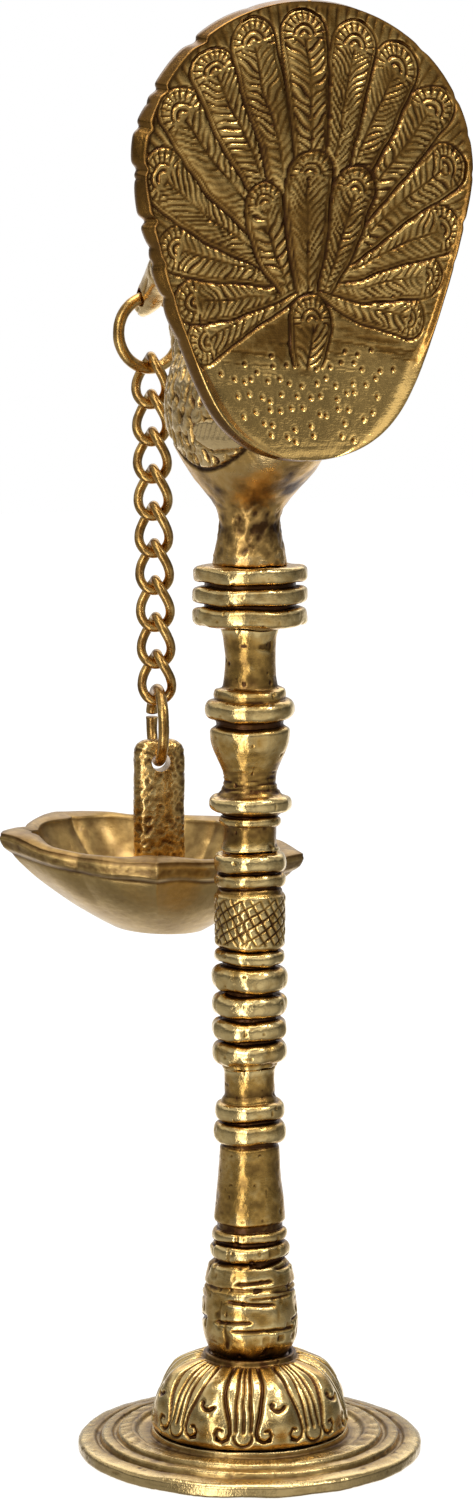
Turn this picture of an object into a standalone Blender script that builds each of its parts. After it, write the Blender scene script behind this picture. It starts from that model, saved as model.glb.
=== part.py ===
"""Brass standing oil lamp (samai): a turned stem on a round foot, topped by a peacock whose beak holds
a ring, a curb chain and a five-spouted oil bowl. Metres, +Z up, origin at the centre of the foot's
underside. The peacock faces -Y and the object's plane of symmetry is X = 0."""

import math

import bmesh
import bpy
from mathutils import Matrix, Vector

MM = 0.001
GAP = 0.3 * MM
TURN_STEPS = 20

# Heights at which the stem's sections meet, from the foot's underside.
FOOT_TOP = 5.2 * MM
DOME_TOP = 22.6 * MM
LOWER_TOP = 86.5 * MM
MIDDLE_TOP = 134.5 * MM
UPPER_TOP = 183.6 * MM
COLLAR_TOP = 197.3 * MM

FOOT_RADIUS = 38.2 * MM
DOME_RADIUS = 22.0 * MM
DOME_WIDEST = 7.0 * MM
SPIGOT_RADIUS = 3.2 * MM
SPIGOT_LENGTH = 5.0 * MM

# Tail fan: a flat egg-shaped plate, blunt end up, that stands behind the bird.
FAN_BACK = 25.7 * MM
FAN_THICKNESS = 5.0 * MM
FAN_HALF_WIDTH = 40.4 * MM
FAN_WIDEST = 281.6 * MM
FAN_TOP = 316.3 * MM
FAN_BOTTOM = 221.8 * MM
FAN_SCALLOPS = 15
FAN_SCALLOP_DEPTH = 0.9 * MM
FAN_FRONT_FLARE = 1.2 * MM

# Hanging gear: everything below the beak hangs on one line. HANG_DRIFT is how far that line moves along
# X and Y for each unit that it drops.
HANG_Y = -43.9 * MM
HANG_DRIFT = (-0.0155, 0.0093)
BEAK_HOLE_Z = 254.9 * MM
BEAK_HOLE_RADIUS = 2.1 * MM
BEAK_RING_RADIUS = 7.98 * MM
BEAK_RING_WIRE = 1.325 * MM
LINK_COUNT = 9
LINK_HALF_HEIGHT = 5.43 * MM
LINK_HALF_WIDTH = 3.85 * MM
LINK_TURN = math.radians(-22)
LINK_WIRE = 1.075 * MM
POST_RING_RADIUS = 8.2 * MM
POST_RING_WIRE = 1.3 * MM
POST_TURN = math.radians(-20)
SPLIT_ANGLE = math.radians(7)
SPLIT_START = math.radians(-75)

# Oil bowl and the post that it hangs by.
BOWL_BOTTOM = 110.7 * MM
BOWL_HEIGHT = 20.8 * MM
BOWL_TIP_RADIUS = 36.1 * MM
BOWL_FOOT_RADIUS = 11.0 * MM
BOWL_WALL = 2.2 * MM
BOWL_FLOOR = 2.6 * MM
BOWL_EDGE = 1.1 * MM
BOWL_PLACE = (0.86 * MM, HANG_Y - 0.5 * MM)
BOWL_SPOUTS = 5
BOWL_TURN = math.radians(9.7)
BOWL_LEAN = (-0.022, 0.064)
SPOUT_LIFTS = [lift * MM for lift in (0.6, 2.6, -0.2, 0.2, 0.8)]
SPOUT_SOLID = 4.0 * MM
POST_HALF_WIDTH = 5.9 * MM
POST_HALF_THICKNESS = 3.0 * MM
POST_TOP = 155.0 * MM
POST_HOLE_RADIUS = 2.15 * MM

ANTIQUE = (0.32, 0.20, 0.055, 1.0)
SATIN = (0.42, 0.33, 0.13, 1.0)
BROWN = (0.26, 0.13, 0.035, 1.0)


def start_collections():
    """Empty the scene, and make one collection for the lamp and one for the cutters."""
    for item in list(bpy.data.objects):
        bpy.data.objects.remove(item, do_unlink=True)
    made = []
    for name in ("samai_lamp", "cutters"):
        collection = bpy.data.collections.new(name)
        bpy.context.scene.collection.children.link(collection)
        made.append(collection)
    return made


def brass(name, color, roughness):
    material = bpy.data.materials.new(name)
    material.use_nodes = True
    shader = material.node_tree.nodes["Principled BSDF"]
    shader.inputs["Base Color"].default_value = color
    shader.inputs["Metallic"].default_value = 1.0
    shader.inputs["Roughness"].default_value = roughness
    return material


def add_object(name, data, collection, color=ANTIQUE, roughness=0.35, parent=None, location=(0, 0, 0)):
    item = bpy.data.objects.new(name, data)
    collection.objects.link(item)
    item.location = location
    item.parent = parent
    if collection is LAMP:
        data.materials.clear()
        data.materials.append(brass(name + "_brass", color, roughness))
    return item


def add_pivot(name, place, parent=None, parent_place=(0, 0, 0)):
    """An empty on a joint's axis. place and parent_place are in the lamp's own frame."""
    pivot = bpy.data.objects.new(name, None)
    LAMP.objects.link(pivot)
    pivot.location = Vector(place) - Vector(parent_place)
    pivot.parent = parent
    return pivot


def smooth(mesh, degrees=35):
    mesh.shade_smooth()
    mesh.set_sharp_from_angle(angle=math.radians(degrees))


def bead(radius, low, high, depth=0.8):
    """A ring of the stem with chamfered edges, from its top edge to its bottom edge, in millimetres."""
    corner = min(depth, 0.4 * (high - low))
    return [(radius - depth, high), (radius, high - corner), (radius, low + corner), (radius - depth, low)]


def turned(name, profile, color=ANTIQUE, roughness=0.35, steps=TURN_STEPS):
    """Turn a profile of (radius, height) pairs, in metres, that starts and ends on the axis."""
    mesh = bpy.data.meshes.new(name)
    points = [(radius, 0, height) for radius, height in profile]
    mesh.from_pydata(points, [(k, k + 1) for k in range(len(points) - 1)], [])
    item = add_object(name, mesh, LAMP, color, roughness)
    screw = item.modifiers.new("turn", "SCREW")
    screw.steps = steps
    screw.render_steps = steps
    screw.use_merge_vertices = True
    screw.merge_threshold = 0.00001
    screw.use_smooth_shade = True
    return item


def section(name, outline, bottom, top, socket=True, color=ANTIQUE, roughness=0.35):
    """A turned section of the stem: an outline in millimetres from the top down, a spigot that goes
    into the section below it, and a blind socket in its top face for the spigot of the one above."""
    profile = []
    if socket:
        floor = top - SPIGOT_LENGTH - GAP
        profile += [(0, floor), (SPIGOT_RADIUS + GAP, floor), (SPIGOT_RADIUS + GAP, top)]
    else:
        profile += [(0, top)]
    profile += [(radius * MM, height * MM) for radius, height in outline]
    tip = bottom - SPIGOT_LENGTH
    profile += [(SPIGOT_RADIUS, bottom), (SPIGOT_RADIUS, tip), (0, tip)]
    return turned(name, profile, color, roughness)


def foot_disc():
    floor = FOOT_TOP - 3.0 * MM
    top = FOOT_TOP / MM
    steps = [(21.5, top), (22.3, 4.3), (25.2, 4.3), (25.9, 4.9), (29.3, 4.9), (29.9, 4.0)]
    steps += [(33.0, 4.0), (33.6, 3.0), (37.4, 3.0), (FOOT_RADIUS / MM, 2.4), (FOOT_RADIUS / MM, 0.4)]
    profile = [(0, floor), (SPIGOT_RADIUS + GAP, floor), (SPIGOT_RADIUS + GAP, FOOT_TOP)]
    profile += [(radius * MM, height * MM) for radius, height in steps]
    profile += [(FOOT_RADIUS - 0.4 * MM, 0), (0, 0)]
    turned("foot_disc", profile, SATIN, 0.4, steps=2 * TURN_STEPS)


def dome_outline():
    """A blunt dome, from the stem's seat down to its widest place."""
    height = 16.2 * MM
    power = 2.5
    points = []
    for step in range(7):
        angle = math.radians(80 - 80 * step / 6)
        rise = math.sin(angle) ** (2 / power)
        reach = math.cos(angle) ** (2 / power)
        points.append((DOME_RADIUS * reach, DOME_WIDEST + height * rise))
    return points


def lotus_dome():
    bottom = FOOT_TOP + GAP
    floor = DOME_TOP - SPIGOT_LENGTH - GAP
    spigot = SPIGOT_RADIUS
    profile = [(0, floor), (spigot + GAP, floor), (spigot + GAP, DOME_TOP)]
    profile += [(9.2 * MM, DOME_TOP), (10.0 * MM, DOME_TOP - 0.5 * MM), (10.0 * MM, DOME_TOP - 1.2 * MM)]
    profile += [point for point in dome_outline() if point[0] > 10.6 * MM]
    profile += [(DOME_RADIUS - 1.2 * MM, bottom), (spigot, bottom)]
    profile += [(spigot, FOOT_TOP - 2.7 * MM), (0, FOOT_TOP - 2.7 * MM)]
    turned("lotus_dome", profile, steps=TURN_STEPS + 4)


def lower_stem():
    """Carved bulb, taper, two collars and a neck."""
    outline = [(5.5, 86.5), (5.45, 80.0)]
    outline += bead(7.7, 75.0, 78.6) + bead(7.9, 69.8, 74.0)
    outline += [(6.3, 69.1), (6.6, 68.4), (7.8, 52.2), (7.2, 51.2), (7.2, 50.0)]
    outline += bead(8.4, 47.4, 49.4, 0.6) + bead(8.7, 44.0, 47.0, 0.6)
    outline += [(8.1, 43.4), (9.0, 40.6), (9.9, 37.0), (10.4, 33.0), (10.7, 29.5), (10.6, 27.0), (9.3, 23.6)]
    outline += [(8.6, DOME_TOP / MM + 0.3)]
    section("lower_stem", outline, DOME_TOP + GAP, LOWER_TOP)


def middle_stem():
    """A barrel of rings, a cross-hatched band and two small collars."""
    outline = bead(7.9, 130.2, 134.5) + bead(7.7, 127.0, 129.8, 0.6)
    outline += [(7.2, 125.8), (7.9, 124.8), (7.9, 114.0), (7.1, 113.2)]
    for radius, low, high in ((7.9, 110.0, 112.6), (8.4, 103.6, 108.8), (8.2, 98.0, 101.8)):
        outline += bead(radius, low, high)
    outline += bead(8.2, 92.8, 96.2) + bead(8.05, 87.6, 91.4)
    outline += [(6.4, LOWER_TOP / MM + 0.3)]
    section("middle_stem", outline, LOWER_TOP + GAP, MIDDLE_TOP)


def upper_stem():
    """A neck, an urn with a waist, a ring and a plain shaft."""
    outline = [(6.3, 183.6), (5.55, 180.5), (5.55, 172.0), (6.2, 170.0), (7.9, 169.4), (7.9, 167.9)]
    outline += bead(9.8, 163.9, 167.6, 1.0) + [(7.9, 162.9), (8.9, 160.6), (8.3, 157.8), (6.4, 154.2)]
    outline += [(5.6, 150.5), (6.1, 147.6)] + bead(9.0, 142.8, 146.6, 1.2)
    outline += bead(6.7, 139.6, 141.6, 0.6) + [(5.75, 139.0), (5.75, 137.0), (6.4, MIDDLE_TOP / MM + 0.3)]
    section("upper_stem", outline, MIDDLE_TOP + GAP, UPPER_TOP)


def top_collar():
    """Three heavy rings under the peacock."""
    outline = []
    for radius, low, high in ((12.5, 193.6, 197.3), (12.6, 189.1, 192.9), (12.5, 184.4, 188.4)):
        outline += bead(radius, low, high, 1.3)
    outline += [(10.2, UPPER_TOP / MM + 0.3)]
    section("top_collar", outline, UPPER_TOP + GAP, COLLAR_TOP)


def loft(name, rings, collection, color=ANTIQUE, roughness=0.35, closed_ends=True):
    """A closed skin over rings of points, each ring anticlockwise seen from the end of the loft."""
    mesh = bpy.data.meshes.new(name)
    shape = bmesh.new()
    rows = [[shape.verts.new(point) for point in ring] for ring in rings]
    for below, above in zip(rows, rows[1:]):
        for k in range(len(below)):
            after = (k + 1) % len(below)
            shape.faces.new((below[k], below[after], above[after], above[k]))
    if closed_ends:
        shape.faces.new(list(reversed(rows[0])))
        shape.faces.new(rows[-1])
    bmesh.ops.recalc_face_normals(shape, faces=shape.faces)
    shape.to_mesh(mesh)
    shape.free()
    smooth(mesh)
    return add_object(name, mesh, collection, color, roughness)


def bird_body():
    """Pedestal neck, funnel belly and breast, as level ellipses (height, centre y, half width, half length).
    The back of the body is cut flat where the tail fan stands."""
    flat_back = FAN_BACK - FAN_THICKNESS - GAP
    levels = [(197.6, 0, 8.2, 8.2), (199.5, 0, 7.9, 7.9), (203.5, 0, 7.1, 7.1), (208.0, 0, 6.4, 6.4)]
    levels += [(211.0, 0, 7.6, 8.2), (214.5, 0, 10.6, 12.5), (218.5, 0.5, 12.8, 18.0), (222.5, 0, 14.2, 22.0)]
    levels += [(228.0, -1.0, 15.0, 24.5), (235.0, -1.5, 15.0, 24.0), (241.0, -2.5, 12.8, 22.0)]
    levels += [(246.0, -4.0, 8.8, 17.0), (249.0, -6.0, 4.0, 9.0)]
    rings = []
    for height, middle, half_width, half_length in levels:
        ring = []
        for step in range(20):
            angle = 2 * math.pi * step / 20
            along = (middle + half_length * math.sin(angle)) * MM
            ring.append((half_width * MM * math.cos(angle), min(along, flat_back), height * MM))
        rings.append(ring)
    return loft("peacock_body", rings, LAMP)


def tube_along(name, stations):
    """A helper skin of elliptical sections along a path in the X = 0 plane.
    Each station is (y, z, half width across X, half depth across the path), in millimetres."""
    rings = []
    for k, (y, z, half_width, half_depth) in enumerate(stations):
        before = stations[max(k - 1, 0)]
        after = stations[min(k + 1, len(stations) - 1)]
        heading = Vector((0, after[0] - before[0], after[1] - before[1])).normalized()
        across = Vector((0, -heading.z, heading.y))
        ring = []
        for step in range(12):
            angle = 2 * math.pi * step / 12
            point = Vector((half_width * math.cos(angle), y, z)) + across * half_depth * math.sin(angle)
            ring.append(point * MM)
        rings.append(ring)
    return loft(name, rings, CUTTERS)


def bird_neck():
    """An upright neck that leaves the breast and bends forward into the head."""
    stations = [(-8, 236, 11, 12), (-16, 244, 9, 9.5), (-21, 250, 7, 7.5), (-24, 256, 5.6, 6)]
    stations += [(-27.5, 261, 5.2, 5.8)]
    return tube_along("neck_tool", stations)


def bird_head():
    stations = [(-23.5, 262.5, 2.5, 2.5), (-26, 263, 4.8, 5.2), (-31, 262.5, 5.8, 6.2), (-36, 260.5, 4.6, 4.8)]
    stations += [(-39.5, 258.2, 3.4, 3.6), (-43.9, 254.9, 2.6, 3.5), (-46.6, 252.9, 1.8, 2.4), (-48.6, 251.4, 0.8, 1.0)]
    return tube_along("head_tool", stations)


def bird_crest():
    """A low upright comb on the crown."""
    outline = [(-23.5, 264), (-20.5, 270), (-19.5, 276), (-23.0, 275), (-25.0, 279), (-28.0, 275.5)]
    outline += [(-31.5, 277), (-32.0, 272), (-33.5, 264)]
    rings = []
    for side in (-1.3, 1.3):
        rings.append([(side * MM, y * MM, z * MM) for y, z in outline])
    return loft("crest_tool", rings, CUTTERS)


def hide_tool(item):
    item.hide_render = True
    item.display_type = "WIRE"


def combine(item, tool, operation):
    hide_tool(tool)
    modifier = item.modifiers.new(tool.name, "BOOLEAN")
    modifier.object = tool
    modifier.operation = operation


def add_rod(name, place, direction, radius, length):
    """A round helper bar centred on place, used to bore a hole."""
    mesh = bpy.data.meshes.new(name)
    shape = bmesh.new()
    turn = Vector((0, 0, 1)).rotation_difference(Vector(direction)).to_matrix().to_4x4()
    bmesh.ops.create_cone(
        shape,
        cap_ends=True,
        segments=16,
        radius1=radius,
        radius2=radius,
        depth=length,
        matrix=Matrix.Translation(place) @ turn,
    )
    shape.to_mesh(mesh)
    shape.free()
    return add_object(name, mesh, CUTTERS)


def peacock_body():
    body = bird_body()
    for tool in (bird_neck(), bird_head(), bird_crest()):
        combine(body, tool, "UNION")
    hole = add_rod("beak_hole_tool", (0, HANG_Y, BEAK_HOLE_Z), (1, 0, 0), BEAK_HOLE_RADIUS, 12 * MM)
    combine(body, hole, "DIFFERENCE")


def fan_half_width(height):
    """The egg outline's half width at a height: an ellipse above the widest place, a taper below."""
    if height >= FAN_WIDEST:
        rise = min((height - FAN_WIDEST) / (FAN_TOP - FAN_WIDEST), 1)
        return FAN_HALF_WIDTH * math.sqrt(1 - rise**2)
    drop = min((FAN_WIDEST - height) / (FAN_WIDEST - FAN_BOTTOM), 1)
    return FAN_HALF_WIDTH * (1 - 0.53 * drop**1.35) * math.sqrt(1 - drop**12)


def fan_outline(count):
    """Points round the egg, anticlockwise seen from +Y, starting at the top."""
    points = []
    for step in range(count):
        angle = 2 * math.pi * step / count
        height = FAN_WIDEST + math.cos(angle) * (
            FAN_TOP - FAN_WIDEST if math.cos(angle) > 0 else FAN_WIDEST - FAN_BOTTOM
        )
        side = 1 if angle < math.pi else -1
        points.append((side * fan_half_width(height), height))
    return points


def fan_ring(outline, scale, grow, depth):
    """The outline scaled about the fan's middle, moved outward by grow, at a distance behind the bird."""
    middle = (FAN_TOP + FAN_BOTTOM) / 2
    ring = []
    for k, (x, z) in enumerate(outline):
        away = Vector((x, z - middle))
        outward = away.normalized()
        wave = abs(math.sin(math.pi * FAN_SCALLOPS * k / len(outline)))
        reach = away * scale + outward * (grow - FAN_SCALLOP_DEPTH * (1 - wave) * (grow > 0))
        ring.append((reach.x, depth, middle + reach.y))
    return ring


def tail_fan():
    outline = fan_outline(60)
    front = FAN_BACK - FAN_THICKNESS
    rings = [
        fan_ring(outline, 0.9, 0, front),
        fan_ring(outline, 1.0, FAN_FRONT_FLARE, front + 0.6 * MM),
        fan_ring(outline, 1.0, FAN_FRONT_FLARE, front + 2.2 * MM),
        fan_ring(outline, 1.0, 0, FAN_BACK),
        fan_ring(outline, 0.955, 0, FAN_BACK - 0.2 * MM),
        fan_ring(outline, 0.90, 0, FAN_BACK - 1.2 * MM),
        fan_ring(outline, 0.45, 0, FAN_BACK - 1.2 * MM),
    ]
    loft("tail_fan", rings, LAMP, BROWN, 0.38)


def wire_curve(name, points, radius, cyclic):
    data = bpy.data.curves.new(name, "CURVE")
    data.dimensions = "3D"
    data.bevel_depth = radius
    data.bevel_resolution = 2
    data.use_fill_caps = not cyclic
    spline = data.splines.new("POLY")
    spline.points.add(len(points) - 1)
    for target, point in zip(spline.points, points):
        target.co = (*point, 1)
    spline.use_cyclic_u = cyclic
    spline.use_smooth = True
    return data


def ring_points(radius, turn, start, end, count):
    """Points of an upright ring that hangs from the origin, its plane turned about the vertical.
    At turn 0 the plane is X = 0. Angles run from the ring's top."""
    points = []
    for step in range(count):
        angle = start + (end - start) * step / (count - 1)
        along = radius * math.sin(angle)
        points.append((-along * math.sin(turn), along * math.cos(turn), radius * (math.cos(angle) - 1)))
    return points


def link_points(count=16):
    """Centre line of a curb link that hangs from the origin. Its top bend lies along Y and its bottom bend
    along X, both turned by LINK_TURN, and each side turns a quarter turn on its way down."""
    points = []
    for step in range(count):
        angle = 2 * math.pi * step / count
        drop = (1 - math.cos(angle)) / 2
        turn = LINK_TURN + drop * math.pi / 2
        reach = LINK_HALF_WIDTH * math.copysign(abs(math.sin(angle)) ** 0.9, math.sin(angle))
        points.append((-reach * math.sin(turn), reach * math.cos(turn), -2 * LINK_HALF_HEIGHT * drop))
    return points


def hang_point(height):
    """Where the hanging line passes a height. It drifts a little sideways on its way down."""
    drop = BEAK_HOLE_Z - height
    return (HANG_DRIFT[0] * drop, HANG_Y + HANG_DRIFT[1] * drop, height)


def hanging_gear():
    """Beak ring, chain and post ring. Every piece hangs on the one above through a pivot empty.
    Pivots alternate: on the wire of the piece above for a swing to and from the stem, and on the
    piece's own top wire for a swing to the side. Returns the last pivot and its place."""
    place = (0, HANG_Y, BEAK_HOLE_Z)
    pivot = add_pivot("beak_ring_pivot", place)
    closed_turn = math.radians(90)
    full = ring_points(BEAK_RING_RADIUS, closed_turn, 0, 2 * math.pi, 25)[:-1]
    add_object("beak_ring", wire_curve("beak_ring", full, BEAK_RING_WIRE, True), LAMP, parent=pivot)
    wire_above = BEAK_RING_WIRE
    bottom_above = BEAK_HOLE_Z - 2 * BEAK_RING_RADIUS
    shape = wire_curve("chain_link", link_points(), LINK_WIRE, True)
    for number in range(1, LINK_COUNT + 1):
        top = bottom_above + wire_above + GAP + LINK_WIRE
        pivot_z = top if number % 2 else bottom_above
        pivot_place = hang_point(pivot_z)
        pivot = add_pivot(f"chain_link_{number}_pivot", pivot_place, pivot, place)
        offset = Vector(hang_point(top)) - Vector(pivot_place)
        add_object(f"chain_link_{number}", shape, LAMP, parent=pivot, location=offset)
        place = pivot_place
        wire_above = LINK_WIRE
        bottom_above = top - 2 * LINK_HALF_HEIGHT
    top = bottom_above + LINK_WIRE + GAP + POST_RING_WIRE
    ring_place = hang_point(bottom_above)
    pivot = add_pivot("post_ring_pivot", ring_place, pivot, place)
    bent = ring_points(POST_RING_RADIUS, POST_TURN, SPLIT_START, SPLIT_START + 2 * math.pi - SPLIT_ANGLE, 25)
    data = wire_curve("post_ring", bent, POST_RING_WIRE, False)
    add_object("post_ring", data, LAMP, BROWN, parent=pivot, location=(0, 0, top - bottom_above))
    return pivot, ring_place, top - 2 * POST_RING_RADIUS


def rim_radius(angle):
    """A five-pointed rim with gently bowed sides, at an angle from the first spout."""
    wedge = 2 * math.pi / BOWL_SPOUTS
    from_middle = (angle % wedge) - wedge / 2
    bowed = 0.8 * MM * abs(math.sin(2 * math.pi * from_middle / wedge))
    return BOWL_TIP_RADIUS * (math.cos(wedge / 2) / math.cos(from_middle)) ** 0.93 + bowed


def near_spout(angle, number, spread):
    """1 at a spout's own angle, falling to 0 away from it."""
    away = (angle - 2 * math.pi * number / BOWL_SPOUTS + math.pi) % (2 * math.pi) - math.pi
    return math.exp(-((away / spread) ** 2))


def bowl_ring(reach, height, inset=0.0, count=40):
    """A ring of the bowl. reach 0 is the round foot and 1 is the five-pointed rim. An inset ring keeps
    farther in at the spouts, whose tips are solid. The bowl is fixed to its post a little askew, so that
    its rim leans towards BOWL_LEAN, and each spout is bent up or down by its own lift."""
    ring = []
    solid_depth = SPOUT_SOLID if inset > BOWL_EDGE else 0
    for step in range(count):
        angle = 2 * math.pi * step / count
        solid = 0
        lift = 0
        for number in range(BOWL_SPOUTS):
            solid += solid_depth * near_spout(angle, number, math.radians(13))
            lift += SPOUT_LIFTS[number] * near_spout(angle, number, math.radians(22)) * reach**3
        radius = BOWL_FOOT_RADIUS + (rim_radius(angle) - inset - solid - BOWL_FOOT_RADIUS) * reach
        direction = angle - math.pi / 2 + BOWL_TURN
        x = radius * math.cos(direction)
        y = radius * math.sin(direction)
        leaned = height + lift - BOWL_LEAN[0] * x - BOWL_LEAN[1] * y
        ring.append((BOWL_PLACE[0] + x, BOWL_PLACE[1] + y, leaned))
    return ring


def bowl_rise(reach):
    """How far up the side has come, from 0 at the foot to 1 at the rim."""
    return 0.55 * reach + 0.45 * (1 - math.sqrt(1 - reach**2))


def lamp_bowl():
    top = BOWL_BOTTOM + BOWL_HEIGHT
    inner_height = BOWL_HEIGHT - BOWL_FLOOR
    outer = [math.sin(math.radians(angle)) for angle in (0, 16, 36, 60, 90)]
    rings = [bowl_ring(reach, BOWL_BOTTOM + BOWL_HEIGHT * bowl_rise(reach)) for reach in outer]
    rings.append(bowl_ring(1, top + 0.4 * MM, BOWL_EDGE))
    inner = list(reversed(outer))
    rings += [bowl_ring(reach, top - inner_height * (1 - bowl_rise(reach)), BOWL_WALL) for reach in inner]
    return loft("lamp_bowl", rings, LAMP, SATIN, 0.42)


def bowl_post(ring_low):
    """A flattened bar that stands in the bowl, with a hole near its round top for the post ring."""
    middle_x, middle_y, _ = hang_point(ring_low)
    floor = BOWL_BOTTOM + BOWL_FLOOR + 2 * GAP
    shoulder = POST_TOP - 4.0 * MM
    levels = [(floor, 1.12), (floor + 2 * MM, 1.0), (shoulder, 1.0)]
    for angle in (30, 55, 75):
        rise = 4.0 * MM * math.sin(math.radians(angle))
        levels.append((shoulder + rise, math.cos(math.radians(angle)) ** 0.6))
    rings = []
    for height, scale in levels:
        ring = []
        for step in range(20):
            angle = 2 * math.pi * step / 20
            across = POST_HALF_WIDTH * scale * math.copysign(abs(math.cos(angle)) ** 0.8, math.cos(angle))
            along = POST_HALF_THICKNESS * scale * math.copysign(abs(math.sin(angle)) ** 0.8, math.sin(angle))
            x = across * math.cos(POST_TURN) - along * math.sin(POST_TURN)
            y = across * math.sin(POST_TURN) + along * math.cos(POST_TURN)
            ring.append((middle_x + x, middle_y + y, height))
        rings.append(ring)
    post = loft("bowl_post", rings, LAMP, BROWN, 0.5)
    direction = (-math.sin(POST_TURN), math.cos(POST_TURN), 0)
    hole = add_rod("post_hole_tool", hang_point(ring_low), direction, POST_HOLE_RADIUS, 20 * MM)
    combine(post, hole, "DIFFERENCE")
    return post


def hung_bowl(ring_pivot, ring_place, ring_low):
    """The bowl and its post, on a pivot in the lower bend of the post ring."""
    place = hang_point(ring_low)
    pivot = add_pivot("lamp_bowl_pivot", place, ring_pivot, ring_place)
    for item in (lamp_bowl(), bowl_post(ring_low)):
        item.parent = pivot
        item.location = -Vector(place)


LAMP, CUTTERS = start_collections()
foot_disc()
lotus_dome()
lower_stem()
middle_stem()
upper_stem()
top_collar()
peacock_body()
tail_fan()
hung_bowl(*hanging_gear())
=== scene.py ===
"""Looks of the brass samai: turned, cast and chased brass surfaces built round the fixed CAD frame.
Every shape is worked out in millimetres and written to its mesh in metres."""

import math

import bmesh
import bpy
import numpy as np
from mathutils import Matrix, Vector


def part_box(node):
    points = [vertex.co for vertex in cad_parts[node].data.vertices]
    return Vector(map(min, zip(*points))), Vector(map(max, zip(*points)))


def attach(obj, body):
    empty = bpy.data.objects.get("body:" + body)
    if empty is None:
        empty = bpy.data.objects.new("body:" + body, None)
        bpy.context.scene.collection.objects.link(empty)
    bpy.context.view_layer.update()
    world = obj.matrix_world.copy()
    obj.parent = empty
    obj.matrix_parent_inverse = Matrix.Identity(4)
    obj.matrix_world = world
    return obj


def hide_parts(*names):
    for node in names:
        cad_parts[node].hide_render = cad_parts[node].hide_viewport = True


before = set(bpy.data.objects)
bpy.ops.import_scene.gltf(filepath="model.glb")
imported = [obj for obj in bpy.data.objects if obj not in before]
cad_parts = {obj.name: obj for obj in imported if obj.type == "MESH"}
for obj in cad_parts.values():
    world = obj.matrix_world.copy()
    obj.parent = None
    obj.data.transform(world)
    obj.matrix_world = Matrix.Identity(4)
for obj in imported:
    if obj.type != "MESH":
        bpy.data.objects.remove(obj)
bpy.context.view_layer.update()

MM = 0.001
# Turned and domed outlines stop this far short of the axis, and a small flat cap closes them.
CORE = 0.3


def node_box(name):
    """Lowest and highest corner of a CAD node, in millimetres."""
    low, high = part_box(name)
    return np.array(low) / MM, np.array(high) / MM


# ---------------------------------------------------------------- noise and small maths


def lattice_value(ix, iy, iz, seed):
    """A repeatable value from 0 to 1 for each corner of a cubic lattice."""
    mixed = ix * 374761393 + iy * 668265263 + iz * 1442695041 + seed * 1274126177
    mixed = (mixed ^ (mixed >> 13)) * 1103515245
    mixed = mixed ^ (mixed >> 16)
    return (mixed & 0xFFFF) / 65535.0


def noise(points, size, seed=0):
    """Smooth lattice noise from -1 to 1 at points of shape (..., 3), with cells of the given size."""
    scaled = points / size
    cell = np.floor(scaled)
    part = scaled - cell
    ease = part * part * (3 - 2 * part)
    cell = cell.astype(np.int64)
    total = 0.0
    for dx in (0, 1):
        weight_x = ease[..., 0] if dx else 1 - ease[..., 0]
        for dy in (0, 1):
            weight_y = ease[..., 1] if dy else 1 - ease[..., 1]
            for dz in (0, 1):
                weight_z = ease[..., 2] if dz else 1 - ease[..., 2]
                corner = lattice_value(cell[..., 0] + dx, cell[..., 1] + dy, cell[..., 2] + dz, seed)
                total = total + weight_x * weight_y * weight_z * corner
    return 2 * total - 1


def rough(points, size, seed, octaves=3):
    """Noise summed over finer and finer cells."""
    total = 0.0
    for octave in range(octaves):
        total = total + noise(points, size / 2**octave, seed + octave) / 2**octave
    return total


def notch(distance, width):
    """A groove's share of its full depth at a distance from its middle."""
    return np.exp(-((distance / width) ** 2))


def step_up(value, low, high):
    """0 below low, 1 above high, and smooth between."""
    t = np.clip((value - low) / (high - low), 0, 1)
    return t * t * (3 - 2 * t)


def full_turn(count):
    """Even angles round a circle."""
    return np.linspace(0, 2 * math.pi, count, endpoint=False)


def eased(value, power):
    """A power that keeps the sign."""
    return np.sign(value) * np.abs(value) ** power


def outward_from_axis(points):
    """Level unit vectors away from the Z axis."""
    level = points * np.array([1, 1, 0])
    return level / (np.linalg.norm(level, axis=-1, keepdims=True) + 1e-9)


def blurred(field, rows, cols, wrap):
    """The mean of a field over a window, run twice so that it has no corners."""
    for _ in range(2):
        for axis, size in ((0, rows), (1, cols)):
            if size < 1:
                continue
            widths = [(0, 0)] * field.ndim
            widths[axis] = (size, size)
            mode = "wrap" if axis == 1 and wrap else "edge"
            sums = np.cumsum(np.pad(field, widths, mode=mode), axis=axis)
            sums = np.insert(sums, 0, 0, axis=axis)
            count = 2 * size + 1
            high = np.take(sums, range(count, sums.shape[axis]), axis=axis)
            low = np.take(sums, range(0, sums.shape[axis] - count), axis=axis)
            field = (high - low) / count
    return field


def distance_to_path(x, y, path):
    """Distance from each point (x, y) to a chain of straight strokes."""
    best = np.full(np.shape(x), 1e9)
    for (ax, ay), (bx, by) in zip(path, path[1:]):
        length = (bx - ax) ** 2 + (by - ay) ** 2
        t = np.clip(((x - ax) * (bx - ax) + (y - ay) * (by - ay)) / length, 0, 1)
        best = np.minimum(best, np.hypot(x - ax - t * (bx - ax), y - ay - t * (by - ay)))
    return best


def fine_relief(raised, depth, window=3):
    """How far each point stands out from the ones around it, as a share of a depth."""
    return (raised - blurred(raised, window, window, True)) / depth


# ---------------------------------------------------------------- meshes


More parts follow.
